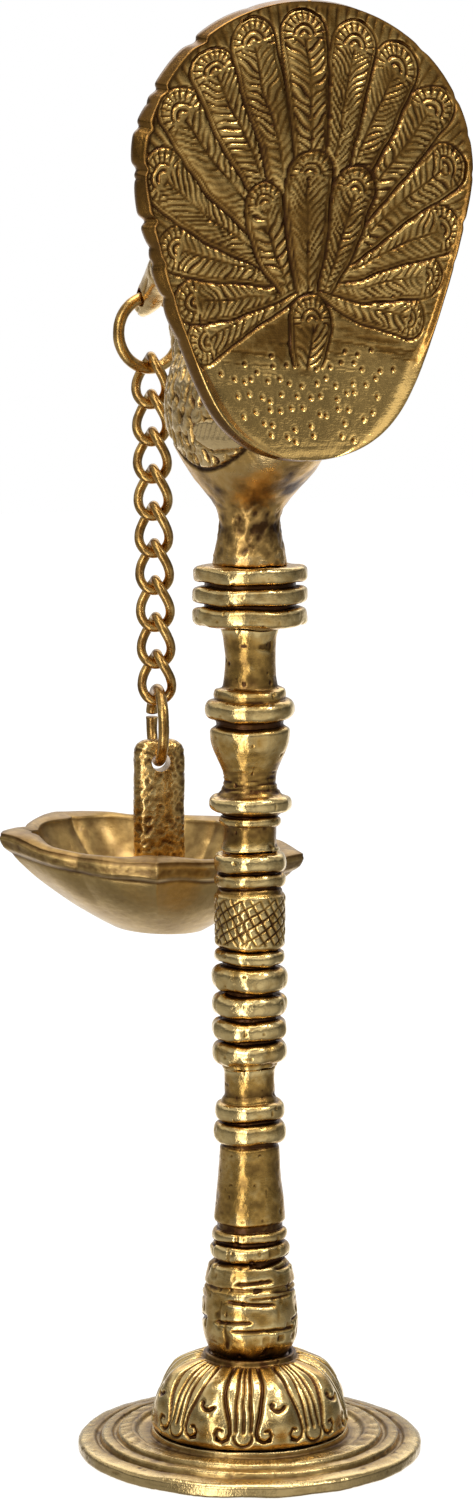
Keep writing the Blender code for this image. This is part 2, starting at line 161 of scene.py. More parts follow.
def grid_mesh(name, grid, relief, loop=False):
    """A closed skin over a grid of points in millimetres. Its rows are rings; the first and last are
    capped, or joined in a loop. relief is stored on the points: below 0 in hollows, where patina gathers,
    and above 0 on edges, which are worn bright. Some pieces add painted shade and painted light to it."""
    rows, cols = grid.shape[:2]
    index = np.arange(rows * cols).reshape(rows, cols)
    following = np.roll(index, -1, axis=0)
    caps = []
    if not loop:
        caps = [index[0][::-1].tolist(), index[-1].tolist()]
        index, following = index[:-1], following[:-1]
    corners = [index, np.roll(index, -1, axis=1), np.roll(following, -1, axis=1), following]
    quads = np.stack(corners, axis=-1).reshape(-1, 4)
    points = grid.reshape(-1, 3)
    a, b, c, d = (points[quads[:, k]] for k in range(4))
    volume = (np.einsum("ij,ij->i", a, np.cross(b, c)) + np.einsum("ij,ij->i", a, np.cross(c, d))).sum()
    faces = quads.tolist() + caps
    if volume < 0:
        faces = [face[::-1] for face in faces]
    mesh = bpy.data.meshes.new(name)
    mesh.from_pydata((points * MM).tolist(), [], faces)
    store_relief(mesh, relief)
    mesh.shade_smooth()
    return mesh


def store_relief(mesh, relief):
    """Keep each point's worn brightness (above 0) or patina (below 0) for the materials to read, with
    painted shade and painted light on some pieces.
    """
    layer = mesh.attributes.new("relief", "FLOAT", "POINT")
    layer.data.foreach_set("value", np.clip(relief, -1, 1).astype(np.float32).ravel())


def add_object(name, data):
    """An object in the scene, at the origin."""
    item = bpy.data.objects.new(name, data)
    bpy.context.scene.collection.objects.link(item)
    return item


def place_piece(name, mesh, node, body, material, middle=(0, 0, 0)):
    """Show a mesh in place of a CAD node, riding on the node's body. middle is in millimetres."""
    piece = add_object(name, mesh)
    piece.location = [value * MM for value in middle]
    if not mesh.materials:
        mesh.materials.append(material)
    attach(piece, body)
    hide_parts(node)
    return piece


def bore(piece, place, direction, radius, depth):
    """Drill a round hole through a piece. place, radius and depth are in millimetres."""
    mesh = bpy.data.meshes.new("bore")
    shape = bmesh.new()
    turn_to = Vector((0, 0, 1)).rotation_difference(direction).to_matrix().to_4x4()
    bmesh.ops.create_cone(
        shape,
        cap_ends=True,
        segments=48,
        radius1=radius * MM,
        radius2=radius * MM,
        depth=depth * MM,
        matrix=Matrix.Translation(Vector(place) * MM) @ turn_to,
    )
    shape.to_mesh(mesh)
    shape.free()
    drill = add_object("bore", mesh)
    modifier = piece.modifiers.new("cut", "BOOLEAN")
    modifier.object = drill
    modifier.operation = "DIFFERENCE"
    bake_modifiers(piece)
    bpy.data.objects.remove(drill)


def bake_modifiers(piece):
    """Make the modifiers' result the piece's own mesh."""
    bpy.context.view_layer.update()
    graph = bpy.context.evaluated_depsgraph_get()
    result = bpy.data.meshes.new_from_object(piece.evaluated_get(graph))
    piece.modifiers.clear()
    piece.data = result


# ---------------------------------------------------------------- turned sections


def filleted(corners, steps=6):
    """A fine outline from corners (radius, height, fillet), each corner rounded by its fillet."""
    points = []
    for k, (r, z, fillet) in enumerate(corners):
        if k in (0, len(corners) - 1) or fillet <= 0:
            points.append((r, z))
            continue
        here = np.array((r, z))
        before = np.array(corners[k - 1][:2]) - here
        after = np.array(corners[k + 1][:2]) - here
        reach = min(fillet, 0.48 * np.linalg.norm(before), 0.48 * np.linalg.norm(after))
        start = here + before / np.linalg.norm(before) * reach
        end = here + after / np.linalg.norm(after) * reach
        for step in range(steps + 1):
            t = step / steps
            points.append(tuple((1 - t) ** 2 * start + 2 * t * (1 - t) * here + t * t * end))
    return points


def evenly(points, spacing):
    """The same outline with points at an even spacing."""
    points = np.array(points, float)
    lengths = np.r_[0, np.cumsum(np.hypot(*np.diff(points, axis=0).T))]
    along = np.linspace(0, lengths[-1], max(int(lengths[-1] / spacing), 8))
    return np.column_stack([np.interp(along, lengths, points[:, k]) for k in (0, 1)])


def ring(radius, low, high, inner, squareness=0.3, count=15):
    """Corners of a rounded ring, top to bottom, that stands out from a groove of radius inner."""
    power = 1 - 0.75 * squareness
    corners = []
    for step in range(count):
        angle = math.pi * (step / (count - 1) - 0.5)
        rise = -math.copysign(abs(math.sin(angle)) ** power, angle)
        reach = max(math.cos(angle), 0.0) ** power
        corners.append((inner + (radius - inner) * reach, (low + high) / 2 + (high - low) / 2 * rise, 0))
    return corners


def turned_piece(
    node, corners, material, carve=None, tone=None, spacing=0.26, around=224, casting=1.0, groove=0.8
):
    """A turned section built fine. carve(angle, r, z, points) gives added relief in millimetres, and tone
    gives painted shade and other changes of colour in the same way. casting is how rough the surface is,
    and groove the depth at which patina is full."""
    outline = evenly(filleted(corners), spacing)
    angle = full_turn(around)
    tangent = np.gradient(outline, axis=0)
    tangent /= np.linalg.norm(tangent, axis=1)[:, None]
    normal = np.column_stack([-tangent[:, 1], tangent[:, 0]])
    r = np.repeat(outline[:, :1], around, axis=1)
    z = np.repeat(outline[:, 1:], around, axis=1)
    turn = np.repeat(angle[None, :], len(outline), axis=0)
    points = np.stack([r * np.cos(turn), r * np.sin(turn), z], axis=-1)
    z = z + 0.3 * casting * noise(points * np.array([1, 1, 0.6]), 6.5, 2) * step_up(r, 3.0, 5.0)
    raised = 0.16 * noise(points, 7.0, 3) + 0.11 * noise(points, 2.4, 5) + 0.035 * noise(points, 0.9, 7)
    pits = step_up(noise(points, 1.3, 11), 0.62, 0.9)
    raised = casting * (raised - 0.16 * pits)
    if carve is not None:
        raised = raised + carve(turn, r, z, points)
    raised = raised * step_up(r, 0.0, 3.0)
    moved_r = r + raised * normal[:, :1]
    moved_z = z + raised * normal[:, 1:]
    grid = np.stack([moved_r * np.cos(turn), moved_r * np.sin(turn), moved_z], axis=-1)
    window = int(2.4 / spacing)
    profile_relief = (outline[:, :1] - blurred(outline[:, :1], window, 0, False)) / groove
    carved_relief = fine_relief(raised, 0.16, int(0.8 / spacing))
    stain = 0.26 * noise(points, 9.0, 13) + 0.2 * noise(points, 2.8, 15)
    relief = np.where(profile_relief < 0, 1.35, 1.0) * profile_relief + carved_relief + stain
    # tone paints shade into the colour.
    if tone is not None:
        relief = relief + tone(turn, r, z, points)
    mesh = grid_mesh(node + "_surface", grid, relief)
    return place_piece(node + "_surface", mesh, node, "stand", material)


def section_ends(node):
    """Heights of the lower and upper end of a section of the stem."""
    low, high = node_box(node)
    return low[2], high[2]


def foot_carving(turn, r, z, points):
    """Knurled ticks on the inner ridge, and filing marks across the flats."""
    ridge = step_up(r, 25.9, 26.6) * (1 - step_up(r, 28.6, 29.3))
    wobble = 0.6 * noise(points, 3.0, 31)
    ticks = np.clip(np.cos(190 * turn + 0.5 * r + 2 * wobble), 0, 1) * (0.7 + 0.3 * noise(points, 6.0, 33))
    lines = 0.03 * noise(np.stack([r * 6, z * 6, turn * 3], axis=-1), 1.6, 35)
    nicks = step_up(noise(points, 1.7, 37), 0.72, 0.95) * step_up(r, 30, 33)
    return -0.22 * ridge * ticks + lines - 0.14 * nicks


def foot_side_shade(turn, r, z, points):
    """Painted shade, mottled like stain, on the rim's side; the outer flat beside it is a little lighter.
    """
    wall = step_up(r, 37.6, 38.1)
    return -wall * (0.55 + 0.5 * noise(points, 5.0, 39)) + 0.15 * step_up(r, 33.9, 34.6) * (1 - wall)


def build_foot(slot, material):
    """Round foot plate with three stepped mouldings."""
    top = section_ends("foot_disc")[1]
    outer = node_box("foot_disc")[1][0]
    corners = [(CORE, top, 0), (21.7, top, 0.2), (22.0, top - 1.3, 0.3), (24.8, top - 1.3, 0.5)]
    corners += [(25.6, top - 0.15, 0.5), (29.0, top - 0.3, 0.6), (29.6, top - 1.7, 0.35)]
    corners += [(30.2, top - 1.7, 0.35), (30.8, top - 0.8, 0.4), (32.9, top - 1.05, 0.5)]
    corners += [(33.4, top - 2.5, 0.3), (34.0, top - 2.5, 0.35), (34.6, top - 1.7, 0.4)]
    corners += [(outer - 0.7, top - 2.2, 0.4), (outer, top - 2.8, 0.5), (outer - 0.05, 0.5, 0.4)]
    corners += [(outer - 0.6, 0.0, 0.3), (CORE, 0.0, 0)]
    turned_piece(
        "foot_disc", corners, material, foot_carving, foot_side_shade, around=420, casting=0.6, groove=0.6
    )


DOME_SEAT = 5.5
DOME_RADIUS, DOME_WIDEST, DOME_RISE = 22.0, 7.0, 15.8
PETALS = 8
PETAL_TURN = math.radians(10)
# Half of a petal's outline, as (distance from its middle, height over the seat): the hook, then its curl.
PETAL_HOOK = [(1.7, 17.5), (2.7, 13.5), (4.0, 9.8), (5.1, 6.6), (5.6, 4.4), (5.2, 2.8), (4.0, 2.0)]
PETAL_CURL = [(2.8, 2.5), (2.3, 3.7), (2.8, 4.9), (3.6, 4.7)]


def dome_carving(turn, r, z, points):
    """Eight lobed petals with hooked tips and a comma mark, and three flutes between each two petals."""
    cell = 2 * math.pi / PETALS
    across = ((turn - PETAL_TURN) % cell - cell / 2) * r + 0.25 * noise(points, 4.0, 41)
    side = np.abs(across)
    height = z - DOME_SEAT + 0.3 * noise(points, 5.0, 43)
    up = height * 1.08
    half_cell = cell * r / 2
    hook = distance_to_path(side, up, PETAL_HOOK + PETAL_CURL[:1])
    curl = distance_to_path(side, up, PETAL_CURL)
    relief = -0.75 * notch(hook, 0.42) - 0.45 * notch(curl, 0.34)
    lobe = (1 - step_up(side, 0.3, 5.2)) * step_up(up, 2.0, 7) * (1 - step_up(up, 13, 17))
    relief = relief + 0.95 * lobe
    seam = half_cell - side
    flute = step_up(up, 3.6, 5.0) * (1 - step_up(up, 16.8, 17.6))
    room = np.clip(half_cell / 8.6, 0.35, 1)
    for place, depth in ((0.0, 0.5), (1.75, 0.6)):
        relief = relief - depth * notch(seam - place * room, 0.34 * room + 0.08) * flute
    tongue = np.abs(np.hypot(seam, (up - 3.4) * 0.9) - 2.1)
    relief = relief - 0.5 * notch(tongue, 0.34) * (1 - step_up(up, 3.4, 4.6))
    bend = np.abs(np.hypot(across + 0.2, up - 10.4) - 1.5)
    comma = notch(bend, 0.5) * (1 - step_up(up, 9.6, 10.3))
    comma = np.maximum(comma, notch(np.hypot(across + 1.5, up - 10.2), 0.6))
    relief = relief - 0.75 * comma
    return relief * step_up(r, 10.4, 11.6) * (1 - step_up(r, 21.9, 22.6) * (up < 0.5))


def dome_seam_shade(turn, r, z, points):
    """Painted shade in the seam over the foot and round the neck, where the dome meets its neighbours."""
    return -1.0 * (1 - step_up(z, 5.6, 7.4)) - 0.9 * (1 - step_up(r, 9.6, 11.6))


def build_dome(slot, material):
    """Lotus dome with a raised lip round its neck."""
    high = section_ends("lotus_dome")[1]
    lip_outside = 10.9
    corners = [(CORE, high - 1.0, 0), (8.8, high - 1.0, 0.2), (9.3, high, 0.4), (10.2, high - 0.1, 0.5)]
    corners += [(10.5, high - 1.3, 0.2)]
    for step in range(14):
        angle = math.radians(68 - 68 * step / 13)
        rise = DOME_RISE * math.sin(angle) ** 0.8
        hollow = 0.04 * math.sin(math.pi * rise / DOME_RISE)
        reach = DOME_RADIUS * math.cos(angle) ** 0.8 * (1 - hollow)
        if reach > lip_outside:
            corners.append((reach, DOME_WIDEST + rise, 0.5))
    corners += [(21.8, 6.0, 0.3), (21.2, DOME_SEAT, 0.3), (CORE, DOME_SEAT, 0)]
    turned_piece(
        "lotus_dome",
        corners,
        material,
        dome_carving,
        dome_seam_shade,
        spacing=0.2,
        around=520,
        casting=0.6,
        groove=1.4,
    )


def gouges(rows, seed, turn, z):
    """Short chisel cuts round a section. Each row is (height, number of cuts, depth, width)."""
    chance = np.random.default_rng(seed)
    relief = np.zeros_like(z)
    for height, count, depth, width in rows:
        for k in range(count):
            middle = 2 * math.pi * (k + chance.uniform(0.1, 0.9)) / count
            span = chance.uniform(0.5, 1.3) * 2.2 / count
            slope = chance.uniform(-1.2, 1.4)
            lift = chance.uniform(-0.5, 0.5)
            away = (turn - middle + math.pi) % (2 * math.pi) - math.pi
            path = height + lift + slope * away
            fade = 1 - step_up(np.abs(away), 0.65 * span, span)
            relief = relief - depth * notch(z - path, width * (0.6 + 0.4 * fade)) * fade
    return relief


def lower_carving(turn, r, z, points):
    """Rough chisel cuts round the bulb."""
    rows = [(29.4, 4, 0.6, 0.4), (31.4, 4, 0.6, 0.4), (35.4, 3, 0.8, 0.5), (36.6, 3, 0.45, 0.4)]
    rows += [(39.6, 3, 0.7, 0.5), (42.3, 2, 0.85, 0.5), (44.4, 3, 0.5, 0.4), (47.4, 3, 0.6, 0.45)]
    bulb = 1 - step_up(z, 49, 51)
    scars = step_up(noise(points * np.array([1.5, 1.5, 0.7]), 1.9, 53), 0.45, 0.85)
    return bulb * (gouges(rows, 5, turn, z) + 0.22 * noise(points, 3.2, 51) - 0.2 * scars)


def bulb_foot_shade(turn, r, z, points):
    """Painted shade at the foot of the bulb, where it sits on the dome."""
    return -0.9 * (1 - step_up(z, 22.6, 25.2))


def build_lower_stem(slot, material):
    """Rough bulb, two rings, a plain taper, two rings and a neck, from the bottom up."""
    top = section_ends("lower_stem")[1]
    foot = section_ends("lotus_dome")[1] - 0.4
    corners = [(CORE, top, 0), (5.7, top, 0.2), (5.5, top - 1.0, 0.3), (5.5, 80.4, 0.3), (6.2, 79.3, 0.3)]
    corners += ring(7.75, 75.1, 78.9, 6.2, 0.25) + ring(8.0, 69.9, 74.5, 6.0, 0.3)
    corners += [(6.1, 69.1, 0.2), (6.55, 68.7, 0.25), (7.1, 60.5, 1), (7.85, 52.3, 0.35), (7.2, 51.7, 0.2)]
    corners += [(7.2, 50.6, 0.2)] + ring(8.35, 47.8, 50.4, 7.1, 0.15) + ring(8.95, 43.8, 47.5, 7.4, 0.2)
    corners += [(8.2, 43.3, 0.2), (9.2, 42.6, 0.5), (9.9, 38.6, 0.8), (9.3, 38.1, 0.2), (10.1, 37.4, 0.6)]
    corners += [(10.6, 32.4, 1.5), (10.8, 28.6, 1.5), (10.3, 25.6, 1.4), (9.2, 23.9, 0.8)]
    corners += [(8.4, foot, 0.2), (CORE, foot, 0)]
    turned_piece("lower_stem", corners, material, lower_carving, tone=bulb_foot_shade)


BARREL_RINGS = ((7.95, 109.9, 112.9), (8.5, 103.8, 109.3), (8.35, 98.1, 103.1), (8.3, 93.0, 97.4))


def hatch_carving(turn, r, z, points):
    """A band cut with two crossing sets of slanting lines, clear in places and worn in others."""
    band = step_up(z, 114.2, 115.0) * (1 - step_up(z, 124.4, 125.0))
    around = turn * 7.9 + 0.35 * noise(points, 3.0, 61)
    steep = np.abs(((around * 0.86 + z * 0.5) / 1.9) % 1 - 0.5) * 1.9
    shallow = np.abs(((around * -0.5 + z * 0.86) / 2.1) % 1 - 0.5) * 2.1
    worn = 0.55 + 0.45 * step_up(noise(points, 5.0, 63), -0.3, 0.5)
    cuts = np.maximum(notch(steep, 0.24), notch(shallow, 0.24))
    wavy = 0.28 * noise(np.stack([turn * 8, z * 0.3, r * 0 + 1], axis=-1), 2.6, 65) * (z < 113)
    return -0.42 * cuts * band * worn + wavy


def build_middle_stem(slot, material):
    """Barrel of rings under a cross-hatched band and two small collars."""
    low, high = section_ends("lower_stem")[1] + 0.2, section_ends("middle_stem")[1]
    corners = [(CORE, high, 0), (6.0, high, 0.2)] + ring(7.95, 130.2, 134.2, 6.3, 0.2)
    corners += ring(7.8, 126.9, 130.0, 6.4, 0.15) + [(7.1, 126.2, 0.2), (7.2, 125.5, 0.2)]
    corners += [(7.85, 124.9, 0.35), (7.95, 119.0, 1.0), (7.85, 114.0, 0.4), (7.1, 113.3, 0.2)]
    for radius, bottom, top in BARREL_RINGS:
        corners += ring(radius, bottom, top, 6.0, 0.22)
    corners += ring(8.2, 87.8, 92.4, 6.0, 0.2) + [(5.8, low, 0.2), (CORE, low, 0)]
    turned_piece("middle_stem", corners, material, hatch_carving, casting=1.15)


def urn_carving(turn, r, z, points):
    """Rasp marks at the waist and a few dents on the shaft."""
    rasp = noise(points * np.array([0.8, 0.8, 5.0]), 2.2, 71) * notch(z - 149.5, 3.0)
    scars = step_up(noise(points, 2.0, 73), 0.5, 0.85) * (step_up(z, 168, 171) + 1 - step_up(z, 140, 143))
    return 0.2 * rasp - 0.25 * scars


def build_upper_stem(slot, material):
    """Neck, waisted urn, collar and plain shaft, from the bottom up."""
    low, high = section_ends("middle_stem")[1], section_ends("upper_stem")[1]
    corners = [(CORE, high, 0), (6.4, high, 0.2), (5.65, 181.0, 1.2), (5.5, 177, 1), (5.6, 172.6, 0.8)]
    corners += [(6.1, 170.6, 0.5), (7.6, 170.2, 0.4), (7.9, 169.1, 0.3), (7.8, 168.2, 0.2)]
    corners += ring(9.85, 163.6, 168.0, 7.7, 0.2) + [(7.4, 163.1, 0.3), (7.3, 162.3, 0.3)]
    corners += [(8.9, 161.4, 0.7), (8.6, 158.2, 1.4), (6.9, 154.6, 1.6), (5.55, 151.4, 1.5)]
    corners += [(5.9, 148.4, 1.4), (7.0, 147.0, 0.5)] + ring(9.05, 143.4, 146.8, 7.2, 0.2)
    corners += [(6.2, 142.6, 0.3)] + ring(6.8, 140.3, 142.3, 5.8, 0.2)
    corners += [(5.75, 139.2, 0.4), (5.7, 137.0, 1.0), (6.6, low + 0.3, 0.6), (CORE, low + 0.2, 0)]
    turned_piece("upper_stem", corners, material, urn_carving)


def build_collar(slot, material):
    """Three heavy rings under the bird."""
    low, high = section_ends("upper_stem")[1] + 0.25, section_ends("top_collar")[1]
    corners = [(CORE, high, 0)]
    for radius, bottom, top in ((12.5, 193.7, high), (12.6, 189.2, 192.8), (12.5, 184.3, 188.3)):
        corners += ring(radius, bottom, top, 10.0, 0.6)
    corners += [(8.0, low, 0.2), (CORE, low, 0)]
    turned_piece("top_collar", corners, material, around=300, casting=1.1, groove=1.1)


# ---------------------------------------------------------------- wire work


def swept(centres, radius, sides, closed, profile=None):
    """Rings of points round a centre line, carried along it without twisting. Returns grid and normals."""
    count = len(centres)
    if closed:
        ahead, behind = np.roll(centres, -1, axis=0), np.roll(centres, 1, axis=0)
    else:
        ahead = np.vstack([centres[1:], 2 * centres[-1] - centres[-2]])
        behind = np.vstack([2 * centres[0] - centres[1], centres[:-1]])
    tangent = ahead - behind
    tangent /= np.linalg.norm(tangent, axis=1)[:, None]
    side = np.cross(tangent[0], (0.3, 0.5, 0.81))
    side /= np.linalg.norm(side)
    sides_list = []
    for k in range(count):
        side = side - tangent[k] * (side @ tangent[k])
        side = side / np.linalg.norm(side)
        sides_list.append(side)
    first = np.array(sides_list)
    if closed:
        # The frame comes round turned by some angle, and every ring takes its share of that angle back.
        last = first[-1] - tangent[0] * (first[-1] @ tangent[0])
        last /= np.linalg.norm(last)
        error = math.atan2(np.cross(last, first[0]) @ tangent[0], last @ first[0])
        share = error * np.arange(count) / count
        second = np.cross(tangent, first)
        first = first * np.cos(share)[:, None] + second * np.sin(share)[:, None]
    second = np.cross(tangent, first)
    turn = full_turn(sides)
    normal = first[:, None] * np.cos(turn)[None, :, None] + second[:, None] * np.sin(turn)[None, :, None]
    scale = radius if profile is None else radius * profile[:, None, None]
    return centres[:, None] + normal * scale, normal


def wire_mesh(name, centres, radius, closed, seed, profile=None, sides=24):
    """Aged drawn wire: slight flats, scratches and dents."""
    grid, normal = swept(centres, radius, sides, closed, profile)
    raised = 0.05 * noise(grid, 2.2, seed) + 0.02 * noise(grid, 0.6, seed + 1)
    raised = raised - 0.05 * step_up(noise(grid, 0.8, seed + 2), 0.6, 0.9)
    grid = grid + normal * raised[..., None]
    return grid_mesh(name, grid, raised / 0.05 * 0.4, loop=closed)


# The line that the gear hangs on starts in the beak's hole and drifts this far in X and Y for each
# millimetre that it drops.
BEAK_HOLE = (0.0, -43.9, 254.9)
HANG_DRIFT = (-0.0155, 0.0093)
LINK_TURN = math.radians(-22)
LINK_HALF_WIDTH = 3.85
BEAK_HOLE_RADIUS = 2.1
# Radii of the wires: the CAD's, which say where a centre line lies, and those of the finer surfaces.
CAD_BEAK_WIRE = 1.325
CAD_LINK_WIRE, LINK_WIRE = 1.075, 1.09
CAD_RING_WIRE, POST_RING_WIRE = 1.3, 1.26
# The split in the post ring: where it starts, and how far round the wire goes.
SPLIT_START, SPLIT_SPAN = math.radians(-75), math.radians(352)


def hang_point(height):
    """The point of the hanging line at a height."""
    drop = BEAK_HOLE[2] - height
    return [BEAK_HOLE[0] + HANG_DRIFT[0] * drop, BEAK_HOLE[1] + HANG_DRIFT[1] * drop, height]


def link_centres(count=96):
    """Centre line of a curb link that hangs from its top wire: the top bend lies near Y and the bottom bend
    near X, both turned by LINK_TURN."""
    low, high = node_box("chain_link_1")
    half_height = (high[2] - low[2]) / 2 - CAD_LINK_WIRE
    angle = full_turn(count)
    drop = (1 - np.cos(angle)) / 2
    turn = LINK_TURN + drop * math.pi / 2
    reach = LINK_HALF_WIDTH * eased(np.sin(angle), 0.9)
    return np.column_stack([-reach * np.sin(turn), reach * np.cos(turn), -2 * half_height * drop])


def build_chain(slot, material):
    """Nine curb links, which share three meshes with different wear."""
    meshes = []
    for k in range(3):
        meshes.append(wire_mesh(f"curb_link_{k}", link_centres(), LINK_WIRE, True, 80 + 5 * k))
    for number in range(1, 10):
        node = f"chain_link_{number}"
        low, high = node_box(node)
        middle = ((low[0] + high[0]) / 2, (low[1] + high[1]) / 2, high[2] - CAD_LINK_WIRE)
        place_piece(node + "_wire", meshes[number % 3], node, node, material, middle)


def ring_centres(radius, turn, start, end, count):
    """Centre line of an upright ring about the origin, its plane turned from X = 0 about the vertical."""
    angle = np.linspace(start, end, count)
    along = radius * np.sin(angle)
    return np.column_stack([-along * math.sin(turn), along * math.cos(turn), radius * np.cos(angle)])


def build_rings(slot, material):
    """The whole ring in the beak, and the split ring that the post hangs from."""
    low, high = node_box("beak_ring")
    middle = (low + high) / 2
    wire = (high[1] - low[1]) / 2
    radius = (high[2] - low[2]) / 2 - wire
    centres = ring_centres(radius, math.pi / 2, 0, 2 * math.pi, 145)[:-1]
    mesh = wire_mesh("beak_ring_wire", centres, wire, True, 101, sides=28)
    place_piece("beak_ring_wire", mesh, "beak_ring", "beak_ring", material, middle)
    low, high = node_box("post_ring")
    radius = (high[2] - low[2]) / 2 - CAD_RING_WIRE
    middle = hang_point(high[2] - CAD_RING_WIRE - wire)
    middle[2] = (low[2] + high[2]) / 2
    count = 150
    centres = ring_centres(radius, POST_TURN, SPLIT_START, SPLIT_START + SPLIT_SPAN, count)
    from_end = np.minimum(np.arange(count), np.arange(count)[::-1])
    swollen = 1 + 0.1 * notch(from_end, 5)
    mesh = wire_mesh("post_ring_wire", centres, POST_RING_WIRE, False, 107, swollen, 28)
    place_piece("post_ring_wire", mesh, "post_ring", "post_ring", material, middle)


# ---------------------------------------------------------------- bowl and post

POST_TURN = math.radians(-20)
# Half width and half depth of the post, how round its corners are, and the radius of its hole.
POST_HALF_WIDTH, POST_HALF_DEPTH = 5.8, 3.0
POST_ROUNDNESS = 0.8
POST_HOLE = 2.15

BOWL_TURN = math.radians(9.7)
# Where the bowl's middle lies, how much lower it sits for each millimetre in X and in Y, and how far its
# foot lies off the middle.
BOWL_PLACE = (0.3, -44.1)
BOWL_LEAN = (-0.022, 0.064)
BOWL_FOOT_SHIFT = (-1.7, 1.0)
# Radii of the beaks' tips and of the foot, and heights of the foot, the floor of the hollow and the rim.
BOWL_TIP, BOWL_FOOT = 36.0, 11.0
BOWL_HEIGHTS = (112.1, 114.0, 131.4)
BOWL_SPOUTS = 5
SPOUT_ANGLES = [BOWL_TURN - math.pi / 2 + 2 * math.pi * k / BOWL_SPOUTS for k in range(BOWL_SPOUTS)]
SPOUT_LIFTS = (0.6, 2.6, 0.7, 0.2, 0.8)
SPOUT_SPREAD = math.radians(22)
# One beak is blunter than the rest, and the side that faces the stem is flattened.
BLUNT_SPOUT, BLUNTING = 2, 4.6
STEM_BEARING, STEM_FLAT = math.pi / 2, 1.6
# The four kinds of row in the bowl's skin.
OUTSIDE, BAND, LIP, HOLLOW = range(4)


def turn_between(turn, bearing):
    """Angle between two bearings, whichever way is shorter."""
    return np.abs((turn - bearing + math.pi) % (2 * math.pi) - math.pi)


def nearest_spout(turn):
    """Angle to the nearest beak."""
    return np.min([turn_between(turn, angle) for angle in SPOUT_ANGLES], axis=0)


def rim_radius(turn):
    """Plan of the rim: five beaks with gently bowed sides between them. One beak is blunt, and the side
    that faces the stem is flattened."""
    wedge = 2 * math.pi / BOWL_SPOUTS
    away = nearest_spout(turn)
    straight = math.cos(wedge / 2) / np.cos(wedge / 2 - away)
    blunt = BLUNTING * notch(turn_between(turn, SPOUT_ANGLES[BLUNT_SPOUT]), SPOUT_SPREAD)
    blunt = blunt + STEM_FLAT * notch(turn_between(turn, STEM_BEARING), SPOUT_SPREAD)
    return BOWL_TIP * straight**0.93 + 1.2 * np.sin(2 * math.pi * away / wedge) - blunt


def rim_width(turn):
    """The rim is broad at the beaks, so the hollow is rounder than the outside."""
    return 3.1 + 4.2 * notch(nearest_spout(turn), math.radians(13))


def spout_lift(turn):
    """How far the rim rises towards each beak."""
    lift = 0.0
    for angle, height in zip(SPOUT_ANGLES, SPOUT_LIFTS):
        lift = lift + height * notch(turn_between(turn, angle), SPOUT_SPREAD)
    return lift


def bowl_rise(reach):
    """Share of the bowl's height at a share of its reach: part cone and part sphere."""
    return 0.6 * reach + 0.4 * (1 - math.sqrt(1 - reach**2))


def bowl_rows():
    """Rows of the bowl's skin, from the middle of its foot, over the rim, to the middle of its floor. Each
    is (radius within the flat foot, height, share of the reach, share of the rim's width, kind)."""
    bottom, floor, top = BOWL_HEIGHTS
    rows = []
    for reach in np.linspace(0.02, 0.98, 26):
        rows.append((BOWL_FOOT * reach, bottom + 0.2 * (1 - reach), 0.0, 0.0, OUTSIDE))
    for angle in np.linspace(0, 68, 70):
        reach = math.sin(math.radians(angle))
        rows.append((0, bottom + (top - bottom) * bowl_rise(reach), reach, 0.0, OUTSIDE))
    _, start, reach, _, _ = rows[-1]
    for t in np.linspace(0.03, 1, 30):
        rows.append((0, start + (top - start) * t, reach + (1 - reach) * t**0.8, 0.0, BAND))
    for t in np.linspace(0.06, 1, 22):
        rows.append((0, top + 0.65 * math.sin(math.pi * t), 1.0, t, LIP))
    for angle in np.linspace(86, 4, 84):
        reach = math.sin(math.radians(angle))
        rows.append((0, floor + (top - floor) * bowl_rise(reach), reach, 1.0, HOLLOW))
    for reach in np.linspace(0.95, 0.03, 18):
        rows.append((BOWL_FOOT * reach, floor, 0.0, 0.0, HOLLOW))
    return rows


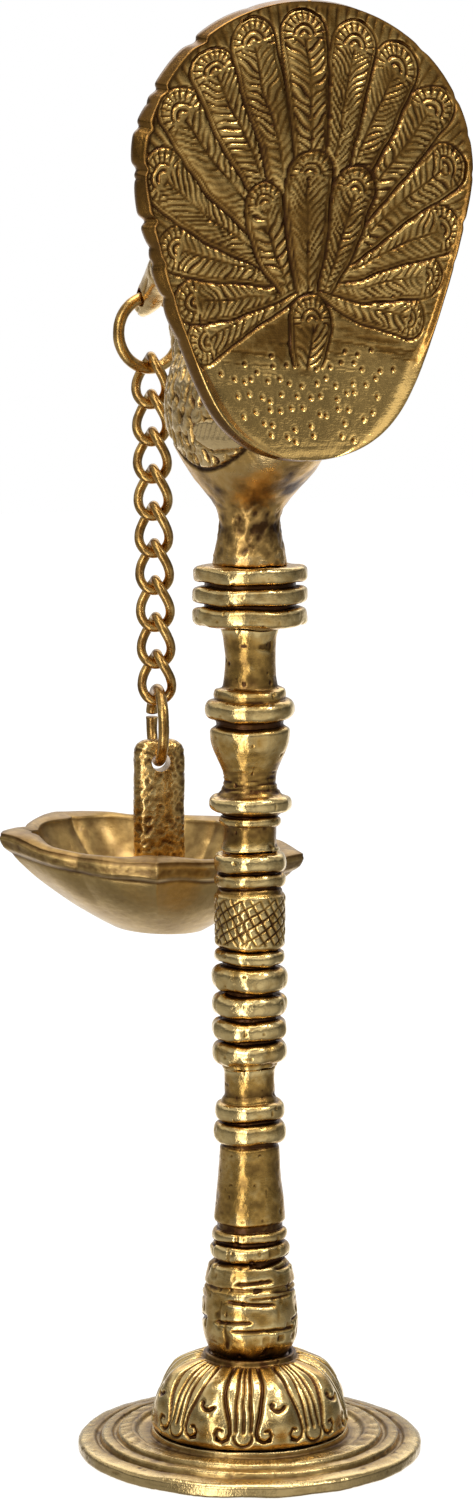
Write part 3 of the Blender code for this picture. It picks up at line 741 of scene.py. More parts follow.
def build_bowl(slot, material):
    """Cast bowl: satin outside, a rough rim band over a lip line, and a smooth hollow."""
    top, band_height, band_out = BOWL_HEIGHTS[2], 4.0, 0.8
    rows = bowl_rows()
    turn = full_turn(480)
    rim, width, lift = rim_radius(turn), rim_width(turn), spout_lift(turn)
    grid = np.zeros((len(rows), len(turn), 3))
    for k, (disc, height, reach, inset, _) in enumerate(rows):
        plan = rim.mean() + (rim - rim.mean()) * reach**1.6
        radius = disc + 0 * turn if disc > 0 else BOWL_FOOT + (plan - inset * width - BOWL_FOOT) * reach
        x, y = radius * np.cos(turn), radius * np.sin(turn)
        leaned = height + lift * reach**3 - BOWL_LEAN[0] * x - BOWL_LEAN[1] * y
        shift = (1 - reach) ** 1.5
        grid[k] = np.column_stack([x + BOWL_FOOT_SHIFT[0] * shift, y + BOWL_FOOT_SHIFT[1] * shift, leaned])
    kind = np.array([row[4] for row in rows])[:, None]
    outside, hollow = kind == OUTSIDE, kind == HOLLOW
    at_rim = (kind == BAND) | (kind == LIP)
    outward = outward_from_axis(grid)
    outward[hollow[:, 0]] = (0, 0, 1)
    height = np.array([row[1] for row in rows])[:, None]
    edge = top - band_height + 0.5 * noise(grid, 7.0, 119)
    in_band = step_up(height - edge, -0.3, 1.3) * ~hollow
    in_band = in_band * (1 - step_up(height, top - 1.3, top) * at_rim)
    grain = rough(grid, 1.3, 121)
    raised = in_band * (band_out + 0.08 * grain + 0.25 * noise(grid, 6.0, 129))
    raised = raised - 0.1 * notch(height - edge + 0.2, 0.5) * ~hollow
    raised = raised + (1 - in_band) * (0.14 * noise(grid, 6, 123) + 0.03 * noise(grid, 1.2, 125))
    hammer = 0.3 * noise(grid, 5.0, 127) + 0.12 * noise(grid, 2.0, 128)
    raised = np.where(hollow, hammer * step_up(top - height, 0.3, 2), raised)
    grid = grid + outward * raised[..., None]
    grid[..., 2] += 0.3 * noise(grid, 6.0, 117) * step_up(height, 126, 130)
    grid[..., :2] += BOWL_PLACE
    # Painted light from below makes the outside lighter than the rim band; the hollow is darker than both.
    painted_light_and_tone = 0.3 * (1 - in_band) * outside - 0.3 * np.maximum(in_band, at_rim)
    relief = fine_relief(raised, 0.2) + np.where(hollow, -0.15, painted_light_and_tone)
    mesh = grid_mesh("lamp_bowl_surface", grid, relief)
    place_piece("lamp_bowl_surface", mesh, "lamp_bowl", "oil_bowl", material)


def build_post(slot, material):
    """Rough cast bar with a round top, bored for the post ring."""
    hole_z = node_box("post_ring")[0][2] + CAD_RING_WIRE
    middle_x, middle_y, _ = hang_point(hole_z)
    top, foot, crown = node_box("bowl_post")[1][2], 112.9, 3.6
    heights = list(np.linspace(foot, top - crown, 110))
    scales = [1.0 + 0.1 * math.exp(-(((z - foot) / 1.6) ** 2)) for z in heights]
    for angle in np.linspace(4, 88, 22):
        heights.append(top - crown + crown * math.sin(math.radians(angle)))
        scales.append(max(math.cos(math.radians(angle)) ** 0.5, 0.1))
    turn = full_turn(140)
    across = POST_HALF_WIDTH * eased(np.cos(turn), POST_ROUNDNESS)
    along = POST_HALF_DEPTH * eased(np.sin(turn), POST_ROUNDNESS)
    grid = np.zeros((len(heights), len(turn), 3))
    for k, (z, scale) in enumerate(zip(heights, scales)):
        x, y = across * scale, along * scale
        grid[k, :, 0] = x * math.cos(POST_TURN) - y * math.sin(POST_TURN)
        grid[k, :, 1] = x * math.sin(POST_TURN) + y * math.cos(POST_TURN)
        grid[k, :, 2] = z
    slant_x = grid[..., 0] + 0.7 * grid[..., 2]
    slant_z = 1.3 * grid[..., 2] - 0.6 * grid[..., 0]
    slanted = np.stack([slant_x, grid[..., 1], slant_z], axis=-1)
    folds = 0.45 - np.abs(noise(slanted, 1.6, 133)) - 0.5 * np.abs(noise(slanted, 0.85, 134))
    raised = 0.16 * noise(grid, 5.0, 131) + 0.24 * folds
    grid = grid + outward_from_axis(grid) * raised[..., None]
    grid[..., :2] += (middle_x, middle_y)
    mesh = grid_mesh("bowl_post_surface", grid, fine_relief(raised, 0.14))
    piece = place_piece("bowl_post_surface", mesh, "bowl_post", "oil_bowl", material)
    direction = Vector((-math.sin(POST_TURN), math.cos(POST_TURN), 0))
    bore(piece, (middle_x, middle_y, hole_z), direction, POST_HOLE, 20)


# ---------------------------------------------------------------- tail fan

FAN_BACK = 25.7
FAN_THICKNESS = 5.0
# Where the feathers spring from on each side of the fan, as (x, z).
BACK_ROOT, FRONT_ROOT = (0.0, 258.0), (0.0, 252.0)
# The angle from one feather tip to the next round the front's edge: 14 tips in 225 degrees.
SCALLOP_PITCH = math.radians(225 / 14)


class Fan:
    """The egg outline of the tail, read from the CAD plate."""

    low, high = node_box("tail_fan")
    top, bottom = high[2] - 0.4, low[2] + 0.5
    half = (high[0] - low[0]) / 2 - 0.9
    widest = bottom + 0.633 * (top - bottom)


def fan_half_width(z):
    """Half the fan's width at a height: an egg with its narrow end down."""
    rise = np.clip((z - Fan.widest) / (Fan.top - Fan.widest), 0, 1)
    drop = np.clip((Fan.widest - z) / (Fan.widest - Fan.bottom), 0, 1)
    return Fan.half * np.sqrt(1 - rise**2) * (1 - 0.53 * drop**1.35) * np.sqrt(1 - drop**12)


def fan_reach(x0, z0, dx, dz):
    """Distance from a point inside the fan to its outline in a direction."""
    steps = np.linspace(0, 120, 1200)
    inside = np.abs(x0 + dx * steps) < fan_half_width(z0 + dz * steps)
    inside &= (z0 + dz * steps < Fan.top) & (z0 + dz * steps > Fan.bottom)
    return steps[np.argmin(inside)]


def engrave_feather(x, z, relief, owner, base, tip, half, number, hand, root_width=0.12):
    """Cut one feather into relief: a leaf outline, a shaft with slanting barbs, and eye arcs in a fringe.
    hand is the (wobble, pressure) of the graver, and root_width the width at the root as a share of the
    widest. owner gets the feather's number."""
    wobble, pressure = hand
    chance = np.random.default_rng(number)
    slant, barb_pitch = chance.uniform(0.6, 1.15), chance.uniform(1.5, 2.0)
    eye_shift, bend = chance.uniform(-0.5, 0.3), chance.uniform(-0.8, 0.8)
    weak_side = chance.integers(-1, 2)
    span_x, span_z = tip[0] - base[0], tip[1] - base[1]
    length = math.hypot(span_x, span_z)
    along = ((x - base[0]) * span_x + (z - base[1]) * span_z) / length
    across = ((z - base[1]) * span_x - (x - base[0]) * span_z) / length
    across = across + bend * np.sin(math.pi * np.clip(along / length, 0, 1))
    neck = length - half
    side = np.abs(across)
    swelling = np.sin(0.5 * math.pi * np.clip(along / neck, 0, 1)) ** 0.9
    width = half * (root_width + (1 - root_width) * swelling)
    head = np.hypot(along - neck, across)
    edge = np.where(along < neck, width - side, half - head)
    mask = (edge > -0.35) & (along > -0.2) & (along < length + 0.5)
    angle = np.arctan2(across, along - neck)
    cut = 0.66 * notch(edge, 0.36)
    cut = np.maximum(cut, 0.34 * notch(edge - 0.95, 0.22))
    forward = step_up(along - neck, -0.45 * half, -0.1 * half)
    fringe = step_up(head, 0.52 * half, 0.58 * half) * (1 - step_up(head, 0.86 * half, 0.94 * half))
    ticks = np.clip(np.cos(angle * round(3.3 * half)), 0, 1) ** 1.3
    cut = np.maximum(cut, 0.56 * ticks * fringe * forward)
    eye = np.hypot(along - neck - eye_shift, across)
    eye_turn = np.abs(np.arctan2(across, along - neck - eye_shift))
    arc = 1 - step_up(eye_turn, 1.35, 1.6)
    cut = np.maximum(cut, 0.62 * notch(eye - 0.47 * half, 0.3) * arc)
    cut = np.maximum(cut, 0.6 * notch(eye - 0.22 * half, 0.34) * arc)
    below = 1 - step_up(along, neck - 0.25 * half, neck - 0.05 * half)
    cut = np.maximum(cut, 0.5 * notch(side, 0.25) * below * pressure)
    barbs = np.clip(np.cos(2 * math.pi * ((along - slant * side) / barb_pitch + 0.4 * wobble)), 0, 1) ** 1.2
    barbs = barbs * pressure * np.where(across * weak_side > 0, 0.45, 1.0)
    inner = step_up(edge, 0.9, 1.15) * step_up(side, 0.2, 0.45)
    cut = np.maximum(cut, 0.55 * barbs * below * inner)
    swell = 0.3 * np.clip(edge / 2.5, 0, 1)
    relief[mask] = (swell - cut)[mask]
    owner[mask] = number


# Bearings of the long outer feathers from the root, in degrees from straight up, as a hand spaced them.
OUTER_FEATHERS = (-116, -97, -77, -58, -42, -28.5, -16, -2.5, 11.5, 25, 39, 54, 70, 86, 107)
# The short inner feathers: bearing, reach, half width, and how far to the side each one's root lies.
INNER_FEATHERS = ((-31, 23.5, 4.8, -4.5), (28, 27.5, 5.0, 4.5), (0.5, 28.5, 5.8, 0.0))
# Nicks in the fan's edge: height and depth.
EDGE_NICKS = ((307.5, 1.3), (297.4, 1.1), (289.6, 0.9), (281.4, 0.9), (271.0, 1.3), (262.5, 0.6))


def feathered(x, z, root):
    """The whole chased field: an outer row of long feathers, a short inner row, and one below the root."""
    wander = np.stack([x, 0 * x, z], axis=-1)
    x = x + 1.1 * noise(wander, 12.0, 161) + 0.25 * noise(wander, 3.5, 162)
    z = z + 1.1 * noise(wander, 12.0, 163) + 0.25 * noise(wander, 3.5, 164)
    relief = np.zeros_like(x)
    hand = noise(wander, 2.6, 168), np.clip(0.85 + 0.7 * noise(wander, 3.2, 169), 0.25, 1.3)
    owner = np.zeros(x.shape, int)
    bearing = np.degrees(np.arctan2(x - root[0], z - root[1]))
    away = np.hypot(x - root[0], z - root[1])
    rays = np.abs((bearing / 2.4) % 1 - 0.5) * 2
    relief -= 0.3 * notch(rays, 0.3) * step_up(away, 10, 14) * (np.abs(bearing) < 100)
    count = len(OUTER_FEATHERS)
    for k in sorted(range(count), key=lambda k: -abs(k - count // 2)):
        before = OUTER_FEATHERS[max(k - 1, 0)]
        after = OUTER_FEATHERS[min(k + 1, count - 1)]
        room = math.radians((after - before) / (2 if 0 < k < count - 1 else 1))
        angle = math.radians(OUTER_FEATHERS[k])
        dx, dz = math.sin(angle), math.cos(angle)
        reach = fan_reach(root[0], root[1], dx, dz) - (0.9 + 0.5 * (k % 3))
        half = min(5.9, (0.5 - 0.025 * (k % 4)) * room * (reach - 3))
        base = (root[0] + 2.5 * dx, root[1] + 2.5 * dz)
        tip = (root[0] + reach * dx, root[1] + reach * dz)
        engrave_feather(x, z, relief, owner, base, tip, half, k + 1, hand)
    for number, (angle, reach, half, side) in enumerate(INNER_FEATHERS):
        dx, dz = math.sin(math.radians(angle)), math.cos(math.radians(angle))
        base = (root[0] + side, root[1] - 0.5)
        tip = (root[0] + reach * dx, root[1] + reach * dz)
        engrave_feather(x, z, relief, owner, base, tip, half, 91 + number, hand, 0.45)
    low_base = (root[0] + 0.4, root[1] - 16.5)
    low_tip = (root[0] + 0.6, root[1] - 1.2)
    engrave_feather(x, z, relief, owner, low_base, low_tip, 5.5, 99, hand, 0.6)
    worn = 0.85 + 0.45 * noise(wander, 5.0, 165) + 0.3 * noise(wander, 1.8, 166)
    relief = np.where(relief < 0, relief * np.clip(worn, 0.3, 1.4), relief)
    return relief, owner


def punched_dots(x, z, seed):
    """Wandering rows of small round punch marks in the bare foot of the fan."""
    chance = np.random.default_rng(seed)
    relief = np.zeros_like(x)
    for row, height in enumerate(np.linspace(225.5, 243.5, 7)):
        limit = 0.8 * fan_half_width(np.array(height)) - 1.5
        for place in np.arange(-limit, limit, 2.9):
            dot_x = place + chance.uniform(-1.1, 1.1)
            dot_z = height + chance.uniform(-1.1, 1.1)
            if chance.random() < 0.2 + 0.5 * (row == 6):
                continue
            gap = np.hypot(x - dot_x, z - dot_z)
            relief += -0.6 * notch(gap, 0.45) + 0.1 * notch(gap - 0.8, 0.24)
    return relief


def fan_rows(count):
    """Heights of the rows, closer together where the outline runs level."""
    fine = np.linspace(Fan.top, Fan.bottom, 4000)
    lengths = np.r_[0, np.cumsum(np.hypot(np.diff(fine), np.diff(fan_half_width(fine))))]
    even = np.linspace(0.12, lengths[-1] - 0.12, count)
    return np.interp(even, lengths, fine)


def across_fan(start, count):
    """Places across the fan from start, -1 or 1, to the other side, closer together near the edges."""
    places = np.linspace(start, -start, count) * math.pi / 2 * 0.92
    return np.sin(places) / math.sin(math.pi / 2 * 0.92)


def fan_back(z, half, count):
    """The chased and dished back: its points, its carving, and its tarnish with painted light and shade."""
    x = half[:, None] * across_fan(-1, count)
    height = np.repeat(z[:, None], count, axis=1)
    from_ends = np.minimum(Fan.top - height, (height - Fan.bottom) * 1.1)
    edge = np.minimum(half[:, None] - np.abs(x), from_ends)
    lip = 0.8 + 1.4 * step_up(250 - height, 0, 14)
    inside = 1 - np.exp(-((np.clip(edge, 0, None) / lip) ** 2))
    shallow_side = step_up(-x / half[:, None], 0.2, 0.95)
    hollow = 0.25 + 3.0 * step_up(Fan.top - height, 5, Fan.top - 240)
    hollow = hollow - 2.5 * np.clip((244 - height) / 20, 0, 1) ** 1.4
    hollow = hollow * (1 - 0.5 * shallow_side)
    chased, owner = feathered(-x, height, BACK_ROOT)
    bare = (owner == 0) * step_up(255.0 - height, 0, 2)
    dots = punched_dots(x, height, 9)
    scratch_points = np.stack([x * 0.08, height * 1.6 - 0.2 * x, x * 0], axis=-1)
    scratches = -0.14 * step_up(noise(scratch_points, 0.8, 141), 0.4, 0.8) * step_up(height, 234, 238)
    carved = chased * (1 - bare) + bare * (dots + scratches)
    carved = carved * step_up(edge, 0.5, 1.6)
    points = np.stack([x, height * 0 + FAN_BACK, height], axis=-1)
    carved = carved + 0.06 * noise(points, 3.0, 143) + 0.03 * noise(points, 0.9, 145)
    tarnish = 0.25 * noise(points, 14.0, 149) + 0.2 * noise(points, 4.0, 150)
    # Painted light on the low dish, which tips up towards the light.
    dish_light = 1.25 * step_up(246 - height, 0, 12)
    # Painted shade along the lip, where the plate curves over at its edge.
    lip_shade = -0.25 * (1 - inside) * (1 - 0.6 * step_up(250 - height, 0, 10))
    grid = np.stack([x, FAN_BACK - hollow * inside + carved, height], axis=-1)
    return grid, carved, dish_light + lip_shade + tarnish


def fan_flare(z, half):
    """How far the front spreads past the outline, in feather tips that meet at shallow dips."""
    angle = np.arctan2(half, z - 257.5)
    tip_wave = np.abs(np.cos(math.pi * (angle - math.radians(5)) / SCALLOP_PITCH))
    above_root = step_up(z, 243, 256) * (1 - 0.8 * step_up(z, 288, 302))
    return 0.35 + above_root * (1.0 - 1.3 * (1 - tip_wave**0.45))


def fan_edge(z, half, flare, lift, count):
    """The edge on the +x side, from the back to the front."""
    t = np.linspace(0, 1, count + 2)[1:-1]
    bulge = np.minimum(1, t * 1.8)
    x = half[:, None] + flare[:, None] * bulge + 0.25 * np.sin(math.pi * t)
    y = np.repeat((FAN_BACK - 0.4 - (FAN_THICKNESS - 1.0) * t)[None], len(z), axis=0)
    height = z[:, None] + (flare * lift)[:, None] * bulge
    return np.stack([x, y, height], axis=-1)


def fan_front(z, half, flare, lift, count):
    """The gently domed and chased front: its points and its carving."""
    reach = half + 0.75 * flare
    x = reach[:, None] * across_fan(1, count)
    height = np.repeat((z + 0.75 * flare * lift)[:, None], count, axis=1)
    chased = 1.5 * feathered(x, height, FRONT_ROOT)[0]
    edge = reach[:, None] - np.abs(x)
    points = np.stack([x, height * 0, height], axis=-1)
    dome = 0.5 * (1 - np.exp(-((np.clip(edge, 0, None) / 1.6) ** 2)))
    y = FAN_BACK - FAN_THICKNESS + 0.7 - dome - 0.75 * chased + 0.05 * noise(points, 2.0, 147)
    return np.stack([x, y, height], axis=-1), chased


def build_fan(slot, material):
    """The tail as one closed plate: a back, a scalloped edge and a front."""
    z = fan_rows(340)
    half = fan_half_width(z)
    middle_z = Fan.widest - 12
    lift = (z - middle_z) / np.hypot(half, z - middle_z)
    flare = fan_flare(z, half)
    back, back_cut, back_light_and_tarnish = fan_back(z, half, 250)
    edge = fan_edge(z, half, flare, lift, 9)
    front, front_cut = fan_front(z, half, flare, lift, 150)
    other_edge = edge[:, ::-1] * np.array([-1, 1, 1])
    grid = np.concatenate([back, edge, front, other_edge], axis=1)
    # Small nicks in the edge between feather tips, deeper on one side.
    nick = sum(depth * notch(z - height, 0.85) for height, depth in EDGE_NICKS)
    near_edge = np.clip(np.abs(grid[..., 0]) / half[:, None], 0, 1) ** 14
    grid[..., 0] -= nick[:, None] * near_edge * np.where(grid[..., 0] > 0, 1.0, -0.3)
    plain = edge[..., 0] * 0
    cut = np.concatenate([back_cut, plain, front_cut, plain], axis=1)
    # The back's tarnish, painted light and painted shade, and painted shade on both edge strips.
    painted_light_and_tone = np.concatenate([back_light_and_tarnish, plain - 0.2, front_cut * 0, plain - 0.2], axis=1)
    mesh = grid_mesh("tail_fan_surface", grid, fine_relief(cut, 0.27) + painted_light_and_tone)
    place_piece("tail_fan_surface", mesh, "tail_fan", "stand", material)


# ---------------------------------------------------------------- peacock


def blob(shape, rings_of_points):
    """Add a closed skin over rings of points, in millimetres, to a bmesh."""
    rows = [[shape.verts.new(Vector(point) * MM) for point in one] for one in rings_of_points]
    outlines = [list(reversed(rows[0])), rows[-1]]
    for below, above in zip(rows, rows[1:]):
        for k in range(len(below)):
            after = (k + 1) % len(below)
            outlines.append((below[k], below[after], above[after], above[k]))
    faces = [shape.faces.new(outline) for outline in outlines]
    bmesh.ops.recalc_face_normals(shape, faces=faces)


def level_rings(levels, flat_back, count=64):
    """Level ellipses (height, middle y, half width, half length), smoothed between and cut flat behind."""
    levels = np.array(levels, float)
    heights = np.linspace(levels[0, 0], levels[-1, 0], 90)
    smooth = np.column_stack([np.interp(heights, levels[:, 0], levels[:, k]) for k in (1, 2, 3)])
    smooth = blurred(smooth, 3, 0, False)
    turn = full_turn(count)
    rings = []
    for height, (middle, half_width, half_length) in zip(heights, smooth):
        y = np.minimum(middle + half_length * np.sin(turn), flat_back)
        rings.append(np.column_stack([half_width * np.cos(turn), y, np.full(count, height)]))
    return rings


def path_rings(stations, count=40):
    """Elliptical sections along a smooth path in X = 0. A station is (y, z, half width, half depth)."""
    stations = np.array(stations, float)
    t = np.arange(len(stations))
    fine = np.linspace(0, len(stations) - 1, 60)
    track = np.column_stack([np.interp(fine, t, stations[:, k]) for k in range(4)])
    track = blurred(track, 4, 0, False)
    heading = np.gradient(track[:, :2], axis=0)
    heading /= np.linalg.norm(heading, axis=1)[:, None]
    turn = full_turn(count)
    rings = []
    for (y, z, half_width, half_depth), (hy, hz) in zip(track, heading):
        off = half_depth * np.sin(turn)
        rings.append(np.column_stack([half_width * np.cos(turn), y - hz * off, z + hy * off]))
    return rings


def scale_marks(u, v, pitch_u, pitch_v):
    """Overlapping crescents on a brick lattice: 1 in the middle of a cut."""
    best = np.zeros_like(u)
    row = np.round(v / pitch_v)
    for shift in (-1, 0, 1):
        line = row + shift
        offset = 0.5 * (line % 2)
        column = np.round(u / pitch_u - offset) + offset
        du, dv = u - column * pitch_u, v - line * pitch_v
        gap = np.hypot(du, dv * 0.9)
        cut = notch(gap - 0.5 * pitch_u, 0.2) * (dv < 0.1 * pitch_v)
        best = np.maximum(best, cut)
    return best


def leaf_punches(u, v, pitch, seed):
    """Curved punch cuts, longer along v, one to each cell of a shaken lattice: 1 in the middle of a cut."""
    best = np.zeros_like(u)
    column, row = np.floor(u / pitch).astype(np.int64), np.floor(v / (1.3 * pitch)).astype(np.int64)
    for step_u in (-1, 0, 1):
        for step_v in (-1, 0, 1):
            i, j = column + step_u, row + step_v
            shake_u, shake_v = lattice_value(i, j, 0 * i, seed), lattice_value(i, j, 0 * i + 1, seed)
            lean = 1.2 * (lattice_value(i, j, 0 * i + 2, seed) - 0.5)
            du = u - (i + 0.2 + 0.6 * shake_u) * pitch
            dv = v - (j + 0.2 + 0.6 * shake_v) * 1.3 * pitch
            along = dv * np.cos(lean) + du * np.sin(lean)
            across = du * np.cos(lean) - dv * np.sin(lean) + 0.16 * along**2
            cut = notch(across, 0.5) * (1 - step_up(np.abs(along), 0.3 * pitch, 0.56 * pitch))
            best = np.maximum(best, cut)
    return best


def bird_relief(points):
    """Chasing on the bird, from where each point lies: punches, wings, collar line, eyes and beak."""
    x, y, z = points[:, 0], points[:, 1], points[:, 2]
    relief = 0.14 * noise(points, 4.5, 151) + 0.07 * noise(points, 1.6, 153)
    side = np.abs(x)
    # Chased breast over a curved line that parts it from the smooth belly.
    girdle = np.minimum(218.4 + 0.028 * (y - 2) ** 2, 224)
    above = step_up(z - girdle, 0.3, 1.2)
    around = np.where(y > -8, y + 8, 0) + np.arctan2(side, -(np.minimum(y, -8) + 8) + 1e-3) * 12
    breast = above * (1 - step_up(z, 244, 248)) * (1 - step_up(y, 15, 18))
    wing_top = [(0, 227.5), (4, 229.2), (9, 230), (13, 232.5), (17, 237), (20, 243)]
    wing_low = [(0, 227.5), (2, 224.5), (7, 222.5), (14, 223.2), (20, 226)]
    wing_line = np.minimum(distance_to_path(y, z, wing_top), distance_to_path(y, z, wing_low))
    in_wing = step_up(z, 222.5, 223.5) * (1 - step_up(z - 0.6 * np.maximum(y - 8, 0), 228.8, 229.8))
    in_wing = in_wing * step_up(y, 0.5, 2)
    flank = step_up(side, 5.5, 8)
    punched = breast * (1 - in_wing * flank)
    relief = relief - 1.15 * leaf_punches(around, z, 3.3, 171) * punched
    relief = relief - 0.35 * leaf_punches(around + 40, z, 1.9, 173) * punched
    relief = relief - 0.6 * notch(z - girdle, 0.36) * (y < 17) + 0.3 * above
    relief = relief - 0.55 * notch(wing_line, 0.34) * flank + 0.25 * in_wing * flank
    barbs = np.clip(np.cos(2 * math.pi * (y - 0.5 * z) / 1.5), 0, 1)
    relief = relief - 0.3 * barbs * in_wing * flank * (z > 225.5)
    # Neck feathers.
    neck = step_up(z, 246, 249) * (1 - step_up(z, 258.5, 260)) * (y > -33)
    relief = relief - 0.34 * scale_marks(np.arctan2(x, -(y + 22)) * 6.5, z, 2.4, 1.9) * neck
    # Eyes, cheek line and the parting of the beak.
    eye = np.hypot(y + 32.2, z - 263.2)
    relief = relief + 0.5 * notch(eye, 0.75) - 0.45 * notch(eye - 1.55, 0.3) * (side > 2)
    cheek = np.abs(np.hypot(y + 30.5, z - 262) - 5.0)
    relief = relief - 0.3 * notch(cheek, 0.28) * (y < -30) * (z < 264)
    parting = distance_to_path(y, z, [(-37.5, 259.0), (-42, 255.2), (-48, 250.9)])
    relief = relief - 0.35 * notch(parting, 0.28) * (side > 0.8) * (np.hypot(y + 43.9, z - 254.9) > 2.6)
    # Comb ribs.
    comb = step_up(z, 267.5, 269)
    ribs = np.clip(np.cos((np.arctan2(y + 27.5, z - 262)) * 17), 0, 1)
    relief = relief - 0.28 * ribs * comb
    # Crumpled casting on the pedestal neck, and two flutes above it.
    pedestal = 1 - step_up(z, 208, 213)
    slanted = np.column_stack([x + 0.6 * z, y, z * 0.8 - 0.4 * x])
    crumple = 0.4 - np.abs(noise(slanted, 2.0, 155)) - 0.5 * np.abs(noise(slanted, 1.0, 156))
    relief = relief + pedestal * 0.3 * crumple
    return relief


# The bird's flat back reaches this far into the fan's front.
BIRD_BACK = FAN_BACK - FAN_THICKNESS + 0.25


def bird_shapes():
    """Body, neck, head with its beak, and the four plumes of the comb, as rings of points that overlap."""
    levels = [(197.35, 0, 8.4, 8.4), (198.2, 0, 8.2, 8.2), (199.5, 0, 7.9, 7.9), (203.5, 0, 7.1, 7.1)]
    levels += [(208.0, 0, 6.4, 6.4), (211.0, 0, 7.6, 8.2), (214.5, 0, 10.6, 12.5), (218.5, 0.5, 12.8, 18.0)]
    levels += [(222.5, 0, 14.2, 22.0), (228.0, -1.0, 15.0, 24.5), (235.0, -1.5, 15.0, 24.0)]
    levels += [(241.0, -2.5, 12.8, 22.0), (246.0, -4.0, 8.8, 17.0), (249.0, -6.0, 4.0, 9.0)]
    neck = [(-8, 236, 11, 12), (-16, 244, 9, 9.5), (-21, 250, 7, 7.5), (-24, 256, 5.6, 6)]
    neck += [(-27.5, 261, 5.2, 5.8)]
    head = [(-23.5, 262.5, 2.0, 2.0), (-26, 263, 4.8, 5.2), (-31, 262.5, 5.8, 6.2)]
    head += [(-36, 260.5, 4.6, 4.8), (-39.5, 258.2, 3.4, 3.6), (-43.9, 254.9, 2.6, 3.6)]
    head += [(-46.6, 252.9, 1.9, 2.5), (-48.4, 251.5, 1.0, 1.2)]
    shapes = [level_rings(levels, BIRD_BACK), path_rings(neck), path_rings(head)]
    for lean, length in ((-0.55, 9.5), (-0.22, 12.5), (0.12, 13.5), (0.45, 11.0)):
        plume = []
        for t in np.linspace(0, 1, 14):
            width = 0.9 + 1.5 * math.sin(math.pi * min(t * 0.62 + 0.3, 1)) ** 2 * t
            y = -28.0 - 3.4 * lean + math.sin(lean) * length * t
            z = 265.0 + math.cos(lean) * length * t
            plume.append((y, z, 1.25, width))
        shapes.append(path_rings(plume, 24))
    return shapes


def fused(shapes):
    """One relaxed skin round shapes that overlap."""
    joined = bmesh.new()
    for rings_of_points in shapes:
        blob(joined, rings_of_points)
    mesh = bpy.data.meshes.new("lump")
    joined.to_mesh(mesh)
    joined.free()
    lump = add_object("lump", mesh)
    remesh = lump.modifiers.new("fuse", "REMESH")
    remesh.mode = "VOXEL"
    remesh.voxel_size = 0.42 * MM
    relax = lump.modifiers.new("relax", "SMOOTH")
    relax.factor = 0.5
    relax.iterations = 8
    bake_modifiers(lump)
    skin = lump.data
    bpy.data.objects.remove(lump)
    skin.materials.clear()
    return skin


def read_vertices(mesh, field):
    """A mesh's vertex positions or normals as an array of shape (count, 3)."""
    values = np.empty(len(mesh.vertices) * 3, np.float32)
    mesh.vertices.foreach_get(field, values)
    return values.reshape(-1, 3)


def bird_wear_and_shade(points, relief):
    """Wear and patina in the cuts, stain and painted shade low under the body, a brown head and patchy
    sides.
    """
    low_parts = 0.1 * noise(points, 4.5, 151)
    # Low on the pedestal, under the body, the colour is darkened in patches: part stain, part painted
    # shade.
    low_down = 1 - step_up(points[:, 2] + 2.5 * noise(points, 7.0, 157), 213, 221)
    foot = step_up(points[:, 2], 198.5, 201)
    stain_and_shade = low_down * (0.35 + 0.5 * step_up(noise(points, 3.2, 158), -0.2, 0.6)) * foot
    head = 0.45 * step_up(points[:, 2] + 1.5 * noise(points, 5.0, 159), 250, 258)
    patches = 0.25 * noise(points, 6.0, 160) + 0.2 * noise(points, 2.2, 162)
    return (relief - low_parts) / 0.34 + 0.12 - stain_and_shade - head + patches


def build_peacock(slot, material):
    """The bird as one cast body, chased, with the ring's hole through its beak."""
    mesh = fused(bird_shapes())
    points = read_vertices(mesh, "co").astype(float) / MM
    relief = bird_relief(points)
    moved = points + read_vertices(mesh, "normal") * relief[:, None]
    moved[:, 1] = np.where(points[:, 1] > BIRD_BACK - 0.6, points[:, 1], moved[:, 1])
    mesh.vertices.foreach_set("co", (moved * MM).astype(np.float32).ravel())
    mesh.update()
    store_relief(mesh, bird_wear_and_shade(points, relief))
    mesh.shade_smooth()
    piece = place_piece("peacock_body_surface", mesh, "peacock_body", "stand", material)
    low, high = node_box("beak_ring")
    hole = (0, (low[1] + high[1]) / 2, high[2] - CAD_BEAK_WIRE)
    bore(piece, hole, Vector((1, 0, 0)), BEAK_HOLE_RADIUS, 14)


# ---------------------------------------------------------------- materials


